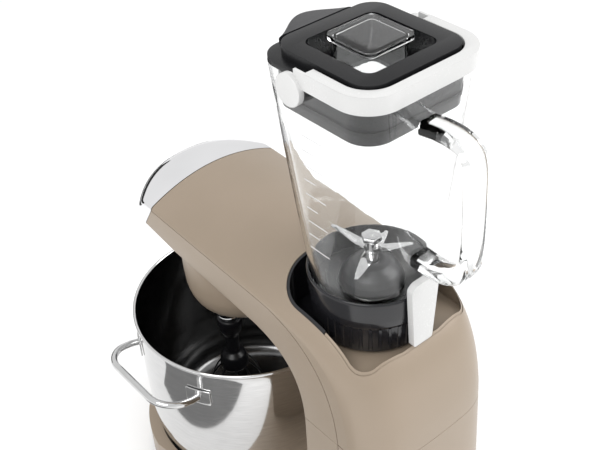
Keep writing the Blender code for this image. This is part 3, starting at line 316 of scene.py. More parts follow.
def cut(obj, *cutters):
    return combine(obj, "DIFFERENCE", *cutters)


def join(obj, *others):
    return combine(obj, "UNION", *others)


def keep_inside(obj, *others):
    return combine(obj, "INTERSECT", *others)


def finished(obj, node, body, finish, angle=32):
    """Smooths a piece, gives it its material and lets it stand in for the frame's node."""
    for polygon in obj.data.polygons:
        polygon.material_index = 0
    obj.data.materials.clear()
    obj.data.materials.append(finish)
    obj.data.shade_smooth()
    obj.data.set_sharp_from_angle(angle=math.radians(angle))
    obj.name = node + "_look"
    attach(obj, body)
    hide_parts(node)
    return obj


# ---------------------------------------------------------------- outlines


def bezier(start, first, second, end, count):
    """Points along a cubic curve, without its end."""
    points = []
    for i in range(count * FINE):
        t = i / (count * FINE)
        s = 1.0 - t
        weights = (s**3, 3 * s * s * t, 3 * s * t * t, t**3)
        places = (start, first, second, end)
        points.append(tuple(sum(w * p[k] for w, p in zip(weights, places)) for k in range(2)))
    return points


def arc(centre, radius, start, end, count):
    """Points along an arc, angles in degrees, with both ends."""
    made = []
    for i in range(count * FINE + 1):
        angle = math.radians(start + (end - start) * i / (count * FINE))
        made.append((centre[0] + radius * math.cos(angle), centre[1] + radius * math.sin(angle)))
    return made


def circle(centre, radius, count=96):
    angles = [2 * math.pi * i / count for i in range(count)]
    return [(centre[0] + radius * math.cos(a), centre[1] + radius * math.sin(a)) for a in angles]


def crest(u):
    """Nose, top and back from the nose's foot to the column's, u half-widths off the middle."""
    foot_z = UNDER_FRONT_Z - UNDER_BOW
    split = (NOSE_SPLIT_Y, CREST_Z)
    nose = bezier((NOSE_FOOT_Y, foot_z), (-0.1020, 0.2925), (-0.1057, 0.3600), split, 6)
    top = bezier(split, (0.02, CREST_Z), (0.08, CREST_Z), (SHOULDER_Y, CREST_Z), 6)
    line = []
    for y, z in nose + top:
        rise = (z - foot_z) / (CREST_Z - foot_z)
        along = max(0.0, (y - NOSE_SPLIT_Y) / (SHOULDER_Y - NOSE_SPLIT_Y))
        drop = CREST_DROP + (SHOULDER_DROP - CREST_DROP) * along
        if y < NOSE_SPLIT_Y:
            y = NOSE_SPLIT_Y + (y - NOSE_SPLIT_Y) * (1.0 - NOSE_DROP * abs(u) ** 2.64)
        line.append((y, z + u * u * (UNDER_BOW * (1.0 - rise) - drop * rise)))
    shoulder = bezier((SHOULDER_Y, CREST_Z), (0.1962, 0.3461), (0.2597, 0.3440), (0.2710, 0.2350), 8)
    back = bezier((0.2710, 0.2350), (0.2735, 0.1900), (0.2760, 0.1300), (0.2770, COLUMN_FOOT_Z), 3)
    spine = shoulder + back + [(0.2770, COLUMN_FOOT_Z)]
    for i, (y, z) in enumerate(spine):
        ahead = spine[min(i + 1, len(spine) - 1)]
        behind = spine[max(i - 1, 0)]
        run = Vector((ahead[0] - behind[0], ahead[1] - behind[1])).normalized()
        share = min(1.0, 1.6 * i / len(shoulder))
        share = share * share * (3.0 - 2.0 * share) if share < 1.0 else 1.0
        drop = u * u * (SHOULDER_DROP + (BACK_DROP - SHOULDER_DROP) * share)
        drop += u**6 * CORNER_DROP * share
        line.append((y + run.y * drop, z - run.x * drop))
    return line


def body_solid(name, inset):
    """The whole outside of the head and the column, moved inwards by inset."""
    half = HALF_WIDTH - inset
    top_edge = max(0.0006, TOP_EDGE_RADIUS - inset)
    under_edge = max(0.0005, UNDER_EDGE_RADIUS - inset)
    start = half - top_edge
    places = [start * math.sin(math.pi / 2 * k / 20) ** 0.9 for k in range(21)]
    places += [half - top_edge * (1.0 - math.sin(math.pi / 2 * k / 6)) for k in range(1, 7)]
    places = [-x for x in reversed(places[1:])] + places
    rings = []
    for x in places:
        over = crest(x / HALF_WIDTH)
        below = under(x / HALF_WIDTH)
        top_fall = edge_fall(abs(x) - start, top_edge)
        under_fall = edge_fall(abs(x) - (half - under_edge), under_edge)
        falls = [under_fall] + [top_fall] * (len(over) - 2) + [under_fall] * (len(below) + 1)
        outline = offset_inwards(over + below, np.array(falls) + inset)
        rings.append([(x, y, z) for y, z in outline])
    return loft(name, rings, True)


def rounded_square(half, corner, count, centre):
    """Square with round corners: FINE times count segments to a corner."""
    points = []
    for k in range(4):
        middle = math.radians(90 * k + 45)
        away = math.sqrt(2.0) * (half - corner)
        hub = (away * math.cos(middle), away * math.sin(middle))
        points += arc(hub, corner, 90 * k, 90 * k + 90, count)
    return [(centre[0] + x, centre[1] + y) for x, y in points]


def offset_inwards(outline, insets):
    """Clockwise outline moved inwards, by one distance or by one for each point."""
    points = np.array(outline)
    along = np.roll(points, -1, axis=0) - points
    along /= np.linalg.norm(along, axis=1)[:, None]
    inward = np.stack([along[:, 1], -along[:, 0]], axis=1)
    before = np.roll(inward, 1, axis=0)
    lean = 1.0 + (inward * before).sum(axis=1)
    depth = np.broadcast_to(insets, len(points))
    moved_points = points + (depth / lean)[:, None] * (inward + before)
    return [tuple(point) for point in moved_points]


def under(u):
    """From the foot of the column's front up, and along the arm's underside to the nose."""
    front = COLUMN_FRONT_Y
    line = [(front, COLUMN_FOOT_Z)]
    line += bezier((front, 0.2100), (front, 0.2560), (0.1640, 0.2800), (0.1200, 0.2872), 6)
    line += [(0.1200, 0.2872), (0.0600, 0.2925), (0.0, 0.2976)]
    return [(y, z - UNDER_BOW * (1.0 - u * u) * min(1.0, max(0.0, (0.15 - y) / 0.09))) for y, z in line]


def edge_fall(past, radius):
    """How far an edge of that radius has fallen, past beyond where it starts."""
    return radius - math.sqrt(max(0.0, radius**2 - max(0.0, past) ** 2))


def side_seam():
    """Line between the top and rear covers and the bands down the sides."""
    bend = bezier((0.1210, 0.3210), (0.1850, 0.3190), (0.2200, 0.2840), (0.2238, 0.2150), 7)
    along = [(NOSE_SPLIT_Y, 0.3284), (0.0, 0.3268), (0.0600, 0.3238)]
    return along + bend + [(0.2238, 0.2150), (0.2240, 0.100), (0.2240, 0.020)]


def tilt_split(offset):
    """Line between the head and the column from front to back, moved up by offset."""
    radius = TILT_SPLIT_Z - TILT_Z + offset
    bend = arc((TILT_Y, TILT_Z), radius, 90.0, 20.0, 7)
    return [(0.150, TILT_SPLIT_Z + offset)] + bend + [(0.300, bend[-1][1])]


def zone(name, outline):
    return plate(name, [outline], -0.100, 0.100, "X")


def seam_above(low_z):
    return [point for point in side_seam() if point[1] > low_z]


def seam_point_at(z):
    """The place on the side seam at a height on its upright stretch."""
    line = side_seam()
    for (y0, z0), (y1, z1) in zip(line, line[1:]):
        if z1 <= z < z0:
            return (y0 + (y1 - y0) * (z - z0) / (z1 - z0), z)
    return line[-1]


def nose_split():
    """Line between the chrome nose and the painted covers, from top to bottom."""
    upright = [(NOSE_SPLIT_Y, 0.400), (NOSE_SPLIT_Y, 0.3284)]
    return upright + [(-0.0429, 0.3122), (-0.0590, 0.2860), (-0.0620, 0.270)]


def shifted(line, across, along):
    return [(a + across, b + along) for a, b in line]


def ribbed(ribs, radius, above, below):
    """Outline of a round grip whose ribs rise above the radius and whose grooves lie below it."""
    step = 2 * math.pi / ribs
    tip = radius + above
    root = radius - below
    points = []
    for i in range(ribs):
        for out, share in ((root, -0.27), (tip, -0.13), (tip, 0.13), (root, 0.27)):
            angle = i * step + share * step
            points.append((out * math.cos(angle), out * math.sin(angle)))
    return points


def well_outline(inset, part="all"):
    """Plan of the well: a rectangle with round corners, the rear ones sharper."""
    front = 0.0360
    rear = 0.0180
    bow = 0.0040
    low = WELL_FRONT_Y + front
    high = WELL_BACK_Y - bow - rear
    ahead = arc((front - WELL_HALF, low), front - inset, 180.0, 270.0, 5)
    ahead += arc((WELL_HALF - front, low), front - inset, 270.0, 360.0, 5)
    behind = arc((WELL_HALF - rear, high), rear - inset, 0.0, 80.0, 4)
    behind += [(0.0200, WELL_BACK_Y - 0.25 * bow - inset), (-0.0200, WELL_BACK_Y - 0.25 * bow - inset)]
    behind += arc((rear - WELL_HALF, high), rear - inset, 100.0, 180.0, 4)
    return {"all": ahead + behind, "front": ahead, "back": behind}[part]


# ---------------------------------------------------------------- finishes

DRIFT_SCALE = 14.0  # of the slow colour drift on mouldings
BRUSH_SCALE = 60.0  # of the fine lines on worked metal


def new_finish(name, colour, roughness, metallic=0.0, **more):
    """A Principled material, its nodes and its shader."""
    made = bpy.data.materials.new(name)
    made.use_nodes = True
    tree = made.node_tree
    shader = tree.nodes["Principled BSDF"]
    shader.inputs["Base Color"].default_value = (*colour, 1.0)
    shader.inputs["Roughness"].default_value = roughness
    shader.inputs["Metallic"].default_value = metallic
    for socket, value in more.items():
        shader.inputs[socket.replace("_", " ")].default_value = value
    return made, tree, shader


def noise(tree, scale, detail, stretch=None):
    """Noise in the object's own coordinates, stretched if asked."""
    place = tree.nodes.new("ShaderNodeTexCoord")
    made = tree.nodes.new("ShaderNodeTexNoise")
    made.inputs["Scale"].default_value = scale
    made.inputs["Detail"].default_value = detail
    if stretch:
        mapping = tree.nodes.new("ShaderNodeMapping")
        mapping.inputs["Scale"].default_value = stretch
        tree.links.new(place.outputs["Object"], mapping.inputs["Vector"])
        tree.links.new(mapping.outputs["Vector"], made.inputs["Vector"])
    else:
        tree.links.new(place.outputs["Object"], made.inputs["Vector"])
    return made


def spread(tree, source, low, high):
    """Maps a texture's middle range to low..high."""
    made = tree.nodes.new("ShaderNodeMapRange")
    made.inputs["From Min"].default_value = 0.3
    made.inputs["From Max"].default_value = 0.7
    made.inputs["To Min"].default_value = low
    made.inputs["To Max"].default_value = high
    tree.links.new(source.outputs["Fac"], made.inputs["Value"])
    return made.outputs["Result"]


def tinted(tree, shader, source, first, second):
    """Base colour that wanders between two near colours."""
    ramp = tree.nodes.new("ShaderNodeValToRGB")
    ramp.color_ramp.elements[0].position = 0.35
    ramp.color_ramp.elements[0].color = (*first, 1.0)
    ramp.color_ramp.elements[1].position = 0.65
    ramp.color_ramp.elements[1].color = (*second, 1.0)
    tree.links.new(source.outputs["Fac"], ramp.inputs["Fac"])
    tree.links.new(ramp.outputs["Color"], shader.inputs["Base Color"])


def bumped(tree, shader, source, strength, distance):
    bump = tree.nodes.new("ShaderNodeBump")
    bump.inputs["Strength"].default_value = strength
    bump.inputs["Distance"].default_value = distance
    tree.links.new(source.outputs["Fac"], bump.inputs["Height"])
    tree.links.new(bump.outputs["Normal"], shader.inputs["Normal"])


def surface(name, first, second, rough, grain, depth=0.00002, metallic=0.0, **more):
    """Moulded or sprayed surface: slow colour drift, uneven gloss and a fine grain."""
    middle = [(a + b) / 2 for a, b in zip(first, second)]
    made, tree, shader = new_finish(name, middle, rough[0], metallic, **more)
    slow = noise(tree, DRIFT_SCALE, 2.0)
    tinted(tree, shader, slow, first, second)
    fine = noise(tree, grain, 2.0)
    tree.links.new(spread(tree, fine, rough[0], rough[1]), shader.inputs["Roughness"])
    bumped(tree, shader, fine, 0.35, depth)
    return made


def brushed(name, first, second, rough, stretch, depth=0.00001):
    """Worked metal with fine lines along the direction of least stretch."""
    middle = [(a + b) / 2 for a, b in zip(first, second)]
    made, tree, shader = new_finish(name, middle, rough[0], 1.0)
    lines = noise(tree, BRUSH_SCALE, 4.0, stretch)
    tinted(tree, shader, lines, first, second)
    tree.links.new(spread(tree, lines, rough[0], rough[1]), shader.inputs["Roughness"])
    bumped(tree, shader, lines, 0.3, depth)
    return made


def clear(name, colour, rough, ior, scale, depth):
    """Glass or clear plastic, with the slight waves of moulding."""
    made, tree, shader = new_finish(name, colour, rough[0], 0.0, IOR=ior)
    shader.inputs["Transmission Weight"].default_value = 1.0
    waves = noise(tree, scale, 1.0)
    tinted(tree, shader, waves, colour, [min(1.0, c * 1.01) for c in colour])
    tree.links.new(spread(tree, waves, rough[0], rough[1]), shader.inputs["Roughness"])
    bumped(tree, shader, waves, 0.25, depth)
    return made


PAINT = surface(
    "champagne_paint", (0.288, 0.229, 0.170), (0.302, 0.240, 0.180), (0.36, 0.42), 1600.0, 0.00001,
    metallic=0.15, Coat_Weight=0.15, Coat_Roughness=0.25,
)
CHROME = surface("chrome", (0.82, 0.82, 0.83), (0.88, 0.88, 0.89), (0.03, 0.06), 400.0, 0.000004, 1.0)
GLOSS = surface(
    "black_gloss_plastic", (0.008, 0.008, 0.010), (0.013, 0.013, 0.015), (0.12, 0.20), 700.0, 0.00001
)
SATIN = surface(
    "black_satin_plastic", (0.005, 0.005, 0.006), (0.008, 0.008, 0.009), (0.26, 0.34), 1400.0,
    Specular_IOR_Level=0.30,
)
MATTE = surface(
    "black_matte_plastic", (0.018, 0.018, 0.018), (0.030, 0.030, 0.030), (0.50, 0.65), 1200.0, 0.00004
)
WHITE = surface("white_plastic", (0.56, 0.56, 0.555), (0.61, 0.61, 0.605), (0.20, 0.28), 900.0, 0.00001)
GREY = surface("grey_plastic", (0.012, 0.012, 0.014), (0.020, 0.020, 0.023), (0.28, 0.38), 1100.0)
RUBBER = surface("rubber", (0.012, 0.012, 0.012), (0.028, 0.028, 0.028), (0.70, 0.85), 1500.0, 0.00006)
UPRIGHT_GRAIN = (1.0, 1.0, 14.0)
STAINLESS = brushed(
    "polished_stainless", (0.60, 0.60, 0.60), (0.68, 0.68, 0.68), (0.06, 0.11), UPRIGHT_GRAIN, 0.000003
)
# Darker, rougher steel for the bowl's inside: its darker colour is painted shade.
BOWL_INSIDE_PAINTED_SHADE = brushed(
    "stainless_painted_shade", (0.15, 0.15, 0.15), (0.20, 0.20, 0.20), (0.14, 0.22), UPRIGHT_GRAIN, 0.000004
)
STEEL = brushed("machined_steel", (0.42, 0.42, 0.44), (0.56, 0.56, 0.57), (0.22, 0.36), (1.0, 12.0, 12.0))
BRASS = brushed("gear_brass", (0.60, 0.43, 0.17), (0.72, 0.54, 0.24), (0.25, 0.38), (12.0, 12.0, 1.0))
COPPER = brushed(
    "copper_wire", (0.46, 0.19, 0.08), (0.62, 0.29, 0.13), (0.30, 0.45), (1.0, 1.0, 16.0), 0.00008
)
BOARD = surface("solder_mask", (0.018, 0.14, 0.055), (0.03, 0.20, 0.08), (0.35, 0.5), 500.0, 0.00003)
GLASS = clear("jug_glass", (0.985, 0.992, 0.99), (0.0, 0.010), 1.36, 90.0, 0.00012)
CLEAR = clear("clear_plastic", (0.975, 0.98, 0.98), (0.02, 0.05), 1.45, 120.0, 0.00006)
MARKS = surface("printed_marks", (0.60, 0.60, 0.60), (0.68, 0.68, 0.68), (0.4, 0.5), 900.0, 0.00001)

SLOT_FINISH = {
    "body_paint": PAINT,
    "chrome_trim": CHROME,
    "black_gloss": GLOSS,
    "black_matte": MATTE,
    "grey_plastic": GREY,
    "white_plastic": WHITE,
    "rubber": RUBBER,
    "stainless": STAINLESS,
    "steel": STEEL,
    "brass_gear": BRASS,
    "windings": COPPER,
    "board": BOARD,
    "jug_glass": GLASS,
    "clear_cup": CLEAR,
}


def finish_frame():
    """Every node of the frame gets the finish of its own slot."""
    slots = {row["node"]: row["material_slot"] for row in frame["record"]["subparts"]}
    for node, obj in frame["nodes"].items():
        made = SLOT_FINISH[slots[node]]
        for place in obj.material_slots:
            place.material = made


# ---------------------------------------------------------------- covers


def head_covers():
    """Top cover with its well, the side and underside shell with the hub's neck, and the nose."""
    edge = shifted(seam_above(TILT_SPLIT_Z) + [seam_point_at(TILT_SPLIT_Z + GAP)], SEAM, SEAM)
    split = [p for p in tilt_split(SEAM / 2) if p[0] > edge[-1][0]]
    front = shifted(nose_split()[:1], GAP, 0.0)
    cover = body_solid("cover", 0.0)
    keep_inside(cover, zone("zone_top", edge + split + [(0.320, 0.400)] + front))
    cut(cover, body_solid("hollow_top", SHELL))
    cut(cover, plate("well_hole", [well_outline(0.0)], WELL_FLOOR_Z - 0.0100, 0.4000))
    finished(cover, "head_top_cover", "head", PAINT)

    edge = seam_above(TILT_SPLIT_Z)[1:] + [seam_point_at(TILT_SPLIT_Z)]
    front = shifted(nose_split()[1:], GAP, 0.0)
    shell = body_solid("shell", 0.0)
    outline = edge + [(0.150, TILT_SPLIT_Z + SEAM / 2), (0.150, 0.270)] + front[::-1]
    keep_inside(shell, zone("zone_lower", outline))
    cut(shell, body_solid("hollow_lower", SHELL))
    cut(shell, drum("neck_bore", 0.0560, 0.26, 0.31))
    outer = [(0.0585, 0.3060), (0.0584, 0.2700), (0.0580, 0.2500), (0.0568, 0.2330), (0.0545, 0.2235)]
    outer += [(0.0510, 0.2160), (0.0460, 0.2105), (0.0420, 0.2078), (0.0398, 0.2060), (0.0385, 0.2060)]
    inner = [(0.0372, 0.2060), (0.0372, 0.2080), (0.0440, 0.2120), (0.0505, 0.2200)]
    inner += [(0.0543, 0.2340), (0.0556, 0.2555), (0.0556, 0.3060)]
    neck = turned("neck", outer + inner, closed=True, reach=0.0030)
    cut(neck, body_solid("neck_limit", SHELL - 0.0005))
    join(shell, neck)
    finished(shell, "head_lower_shell", "head", PAINT)

    outline = shifted(nose_split(), -GAP, 0.0) + [(-0.120, 0.270), (-0.120, 0.400)]
    cap = body_solid("cap", 0.0)
    keep_inside(cap, zone("zone_nose", outline))
    cut(cap, body_solid("hollow_nose", 0.0018))
    cut(cap, drum("nose_room", 0.0592, 0.26, 0.3040))
    finished(cap, "nose_cap", "head", CHROME)


def well():
    """Dark wall round the front of the well, and the painted floor behind the jug's foot."""
    gap = GAP + 0.0001
    wall = 0.0022
    line = well_outline(gap, "front")
    inner = well_outline(gap + wall, "front")
    ends = [(x, JUG_Y + 0.0100) for x in (line[0][0], line[-1][0], inner[-1][0], inner[0][0])]
    band = [ends[0]] + line + ends[1:3] + inner[::-1] + [ends[3]]
    liner = plate("liner", [band], WELL_FLOOR_Z, 0.3800)
    front = [(line[0][0], JUG_Y)] + line + [(line[-1][0], JUG_Y)]
    join(liner, plate("liner_floor", [front], WELL_FLOOR_Z, WELL_FLOOR_Z + WELL_FLOOR_THICKNESS))
    cut(liner, drum("liner_hole", 0.0130, 0.29, 0.31, (0.0, JUG_Y)))
    keep_inside(liner, body_solid("liner_limit", 0.0006))
    finished(liner, "well_liner", "head", GLOSS)

    half = WELL_HALF - 0.0030
    step = JUG_Y + 0.0104
    rear = well_outline(gap, "back")
    plan = [(-half, JUG_Y + GAP), (half, JUG_Y + GAP), (half, step), (rear[0][0], step + 0.0007)]
    plan += rear + [(rear[-1][0], step + 0.0007), (-half, step)]
    ledge = plate("ledge", [plan], WELL_FLOOR_Z, WELL_FLOOR_Z + WELL_FLOOR_THICKNESS)
    cut(ledge, drum("ledge_hole", 0.0130, 0.29, 0.31, (0.0, JUG_Y)))
    inner = well_outline(gap + 0.0016, "back")
    sides = [(rear[0][0], step + 0.0007)] + rear + [(rear[-1][0], step + 0.0007)]
    back = [(inner[0][0], step + 0.0007)] + inner + [(inner[-1][0], step + 0.0007)]
    fence = plate("fence", [sides + back[::-1]], WELL_FLOOR_Z + 0.0005, 0.3800)
    keep_inside(fence, body_solid("fence_limit", 0.0006))
    join(ledge, fence)
    finished(ledge, "well_ledge", "head", PAINT)


def column():
    """Sides and front of the column, and its rear cover with the inlet's opening."""
    top = TILT_SPLIT_Z - SEAM / 2
    shell = body_solid("column", 0.0)
    edge = [seam_point_at(top), (0.2240, 0.100), (0.2240, COLUMN_START_Z)]
    keep_inside(shell, zone("zone_front", edge + [(0.150, COLUMN_START_Z), (0.150, top)]))
    cut(shell, body_solid("hollow_front", SHELL))
    for y, z, radius in ((KNOB_Y, KNOB_Z, 0.0060), (BUTTON_Y, BUTTON_Z, 0.0088)):
        cut(shell, along_x(drum("side_hole", radius, -0.01, 0.01), y, z))
    finished(shell, "column_front_shell", "base", PAINT)

    top = [p for p in tilt_split(-SEAM / 2) if p[0] > 0.2250]
    edge = [seam_point_at(TILT_SPLIT_Z - GAP / 2), (0.2240, 0.100), (0.2240, COLUMN_START_Z)]
    cover = body_solid("rear", 0.0)
    keep_inside(cover, zone("zone_rear", shifted(edge, SEAM, 0.0)[::-1] + top + [(0.300, COLUMN_START_Z)]))
    cut(cover, body_solid("hollow_rear", SHELL))
    cut(cover, plate("inlet_hole", [rounded_square(0.0125, 0.003, 3, (0.0, 0.080))], 0.24, 0.30, "Y"))
    finished(cover, "column_rear_cover", "base", PAINT)


def base_outline(inset=0.0):
    """Round under the bowl, with straight sides running back to the column."""
    front = arc((0.0, 0.0), BASE_RADIUS - inset, 190.0, 350.0, 18)
    corner = 0.040
    hub = (BASE_BACK_HALF - corner, BASE_BACK_Y - corner)
    right = arc(hub, corner - inset, 8.0, 90.0, 4)
    left = [(-x, y) for x, y in reversed(right)]
    return front + right + left


def base():
    """Moulded base with a round recess for the bowl, its dark seat and the rubber feet."""
    shell = plate("base", [base_outline()], BASE_LOW_Z, BASE_TOP_Z)
    soften(shell, 0.0062, 6, 60)
    hollow = plate("hollow", [base_outline(0.0035)], 0.0, BASE_TOP_Z - 0.0030)
    cut(hollow, drum("recess_wall", RECESS_RADIUS + 0.0025, -0.01, 0.05))
    cut(shell, hollow)
    cut(shell, drum("recess", RECESS_RADIUS, RECESS_Z, 0.10))
    cut(shell, drum("under_recess", RECESS_RADIUS - 0.004, 0.0, RECESS_Z - 0.003))
    cut(shell, plate("floor_room", [base_outline(0.0037)], 0.0, BASE_LOW_Z + 0.0026))
    finished(shell, "base_shell", "base", PAINT)

    low = RECESS_Z + GAP
    profile = [(0.0660, SEAT_Z + 0.003), (0.0700, SEAT_Z + 0.003), (0.0760, SEAT_Z - 0.001)]
    profile += [(0.1000, SEAT_Z - 0.001), (0.1000, low), (0.0120, low), (0.0120, SEAT_Z - 0.0010)]
    profile += [(0.0660, SEAT_Z - 0.0010)]
    finished(turned("seat", profile, closed=True), "bowl_seat", "base", MATTE)
    top = BASE_LOW_Z - GAP
    places = {"front": (0.070, -0.072), "rear": (0.060, 0.250)}
    for row, (x, y) in places.items():
        for side, sign in (("right", 1), ("left", -1)):
            foot = [(0.0, top), (0.0160, top), (0.0160, 0.0040), (0.0140, 0.0), (0.0105, 0.0)]
            foot += [(0.0095, 0.0012), (0.0, 0.0012)]
            made = turned("foot", foot, (sign * x, y), 48)
            finished(made, f"foot_{row}_{side}", "base", RUBBER)


def controls():
    """Speed knob with a grip of fine ribs, its ring, and the release button."""
    ribs = ribbed(48, 0.0192, 0.0005, 0.0004)
    knob = along_x(plate("knob", [ribs], 0.0022, 0.0175, edge=0.0002), KNOB_Y, KNOB_Z)
    cap = [(0.0, 0.0200), (0.0160, 0.0200), (0.0182, 0.0184), (0.0186, 0.0160), (0.0, 0.0160)]
    join(knob, along_x(turned("cap", cap), KNOB_Y, KNOB_Z))
    bar = [(-0.0195, -0.0011), (-0.0195, 0.0011), (-0.0050, 0.0011), (-0.0050, -0.0011)]
    pointer = plate("pointer", [bar], 0.0185, 0.0212, edge=0.0004)
    join(knob, along_x(pointer, KNOB_Y, KNOB_Z))
    stem = [(0.0, 0.0040), (0.0030, 0.0040), (0.0030, -0.0032), (0.0, -0.0032)]
    join(knob, along_x(turned("stem", stem, reach=0.0002), KNOB_Y, KNOB_Z))
    finished(knob, "speed_knob", "speed_knob", SATIN)
    trim = [(0.0065, 0.0019), (0.0225, 0.0019), (0.0225, 0.0003), (0.0065, 0.0003)]
    trim = along_x(turned("trim", trim, closed=True, reach=0.0006), KNOB_Y, KNOB_Z)
    finished(trim, "knob_ring", "base", CHROME)
    face = [(0.0, 0.0046), (0.0062, 0.0046), (0.0080, 0.0034), (0.0080, -0.0060), (0.0030, -0.0060)]
    face += [(0.0030, -0.0240), (0.0, -0.0240)]
    button = along_x(turned("button", face), BUTTON_Y, BUTTON_Z)
    finished(button, "release_button", "release_button", CHROME)


# ---------------------------------------------------------------- bowl and whisk


def hub_and_whisk():
    """Painted carrier under the hub, the tool's collar, and the whisk with its wires."""
    rim = [(0.0, 0.2984), (0.0059, 0.2984), (0.0059, 0.2520), (0.0360, 0.2520), (0.0360, 0.2460)]
    rim += [(0.0366, 0.2100), (0.0362, 0.2072), (0.0300, 0.2056), (0.0200, 0.2048), (0.0, 0.2048)]
    carrier = turned("carrier", rim)
    at = (TOOL_OFFSET, 0.0)
    for radius, high in ((0.0050, 0.2700), (0.0126, 0.2070)):
        cut(carrier, drum("room", radius, 0.19, high, at))
    finished(carrier, "planet_carrier", "carrier", PAINT)
    profile = [(0.0, 0.2640), (0.0045, 0.2640), (0.0045, 0.2030), (0.0120, 0.2030), (0.0120, 0.1960)]
    profile += [(0.0112, 0.1950), (0.0112, 0.1915), (0.0120, 0.1905), (0.0100, 0.1860), (0.0, 0.1860)]
    finished(turned("spindle", profile, at), "tool_spindle", "tool", CHROME)
    profile = [(0.0, 0.1857), (0.0125, 0.1857), (0.0135, 0.1800), (0.0115, 0.1680), (0.0075, 0.1610)]
    profile += [(0.0070, 0.1380), (0.0130, 0.1330), (0.0150, 0.1240), (0.0150, 0.1180), (0.0, 0.1180)]
    hub = turned("whisk", profile, at, reach=0.0020)
    half = bezier((0.0100, 0.1230), (0.0300, 0.1050), (0.0640, 0.0370), (0.0, 0.0370), 9)
    outline = half + [(0.0, 0.0370)] + [(-r, z) for r, z in reversed(half)]
    meshes = [hub]
    for k in range(4):
        turn = math.pi * (k + 0.25) / 4
        path = [(at[0] + r * math.cos(turn), r * math.sin(turn), z + 0.0024 - 0.0008 * k) for r, z in outline]
        meshes.append(tube(f"wire_{k}", path, 0.0010, 4))
    merged = bmesh.new()
    for piece in meshes:
        merged.from_mesh(piece.data)
    hub.data = mesh_of(merged, "whisk")
    for piece in meshes[1:]:
        bpy.data.objects.remove(piece, do_unlink=True)
    finished(hub, "whisk_hub", "tool", SATIN)


def bowl():
    """Deep polished bowl with a rolled rim, a rougher inside with painted shade, and its two handles."""
    rim = BOWL_RIM_Z
    outer = [(0.1140, rim), (0.1152, rim - 0.0006), (0.1158, rim - 0.0022), (0.1153, rim - 0.0040)]
    outer += [(0.1143, rim - 0.0050), (0.1136, rim - 0.0054), (0.1133, rim - 0.0100)]
    outer += [(0.1130, 0.1500), (0.1126, 0.1100), (0.1120, 0.0800), (0.1109, 0.0680), (0.1090, 0.0580)]
    outer += [(0.1066, 0.0500), (0.1035, 0.0430), (0.1000, 0.0370), (0.0960, 0.0315), (0.0910, 0.0280)]
    outer += [(0.0850, 0.0260), (0.0750, 0.0253), (0.0640, 0.0250), (0.0632, 0.0215)]
    outer += [(0.0600, 0.0215), (0.0600, 0.0246)]
    inner = [(0.0, 0.0246), (0.0, 0.0262), (0.0520, 0.0262), (0.0545, 0.0268)]
    inner += [(0.0640, 0.0268), (0.0750, 0.0269)]
    inner += [(0.0845, 0.0276), (0.0902, 0.0296), (0.0950, 0.0330), (0.0988, 0.0382), (0.1022, 0.0440)]
    inner += [(0.1052, 0.0510), (0.1076, 0.0588), (0.1095, 0.0690), (0.1106, 0.0806), (0.1112, 0.1100)]
    inner += [(0.1116, 0.1500), (0.1122, rim - 0.0040), (0.1127, rim - 0.0010)]
    made = turned("pan", outer + inner, steps=160, closed=True, reach=0.0040)
    finished(made, "bowl", "bowl", STAINLESS, 40)
    # Inside faces below the rim take the darker steel: painted shade in the bowl.
    made.data.materials.append(BOWL_INSIDE_PAINTED_SHADE)
    for face in made.data.polygons:
        out = Vector((face.center.x, face.center.y - BOWL_Y, 0.0))
        inside = face.normal.dot(out) < -0.001 or face.normal.z > 0.5
        if inside and out.length > 0.0545 and face.center.z < rim - 0.0030:
            face.material_index = 1
    bowl_handles()


def bowl_handles():
    """Bent rods that rise outwards, each on two pads that follow the bowl's wall."""
    height = 0.165
    root = 0.1156
    foot_angle = 27.0
    half = root * math.sin(math.radians(foot_angle))
    start = root * math.cos(math.radians(foot_angle))
    bend = 0.026
    reach = 0.1415
    lift = math.tan(math.radians(12.0))
    for name, side in (("right", 1), ("left", -1)):
        path = [(start, -half, height), (start + 0.008, -half - 0.001, height)]
        path += [(x, y, height) for x, y in arc((reach - bend, -half - 0.001 + bend), bend, -80.0, 0.0, 6)]
        path += [(x, y, height) for x, y in arc((reach - bend, half + 0.001 - bend), bend, 0.0, 80.0, 6)]
        path += [(start + 0.008, half + 0.001, height), (start, half, height)]
        rod = tube("rod", [(side * x, y, z + (x - start) * lift) for x, y, z in path], 0.0035, 6)
        for angle in (-foot_angle, foot_angle):
            outline = arc((0.0, 0.0), 0.1152, angle - 6.5, angle + 6.5, 4)
            outline += arc((0.0, 0.0), 0.1138, angle + 6.5, angle - 6.5, 4)
            pad = plate("pad", [[(side * x, y) for x, y in outline]], 0.1560, 0.1740, edge=0.0004)
            join(rod, pad)
        finished(rod, f"bowl_handle_{name}", "bowl", STAINLESS)


# ---------------------------------------------------------------- blender jug


def jug_ring(z, grow=0.0):
    """Outline of the jug at a height: round at the foot and nearly square at the mouth."""
    share = (z - GLASS_LOW_Z) / (GLASS_TOP_Z - GLASS_LOW_Z)
    half = 0.0495 + 0.0080 * share + 0.0006 * math.sin(math.pi * share) + grow
    squaring = min(1.0, max(0.0, (share - ROUND_FOOT_SHARE) / (1.0 - ROUND_FOOT_SHARE)))
    corner = half * (0.9999 - 0.66 * squaring**0.8)
    return [(x, y, z) for x, y in rounded_square(half, corner, 4, (0.0, JUG_Y))]


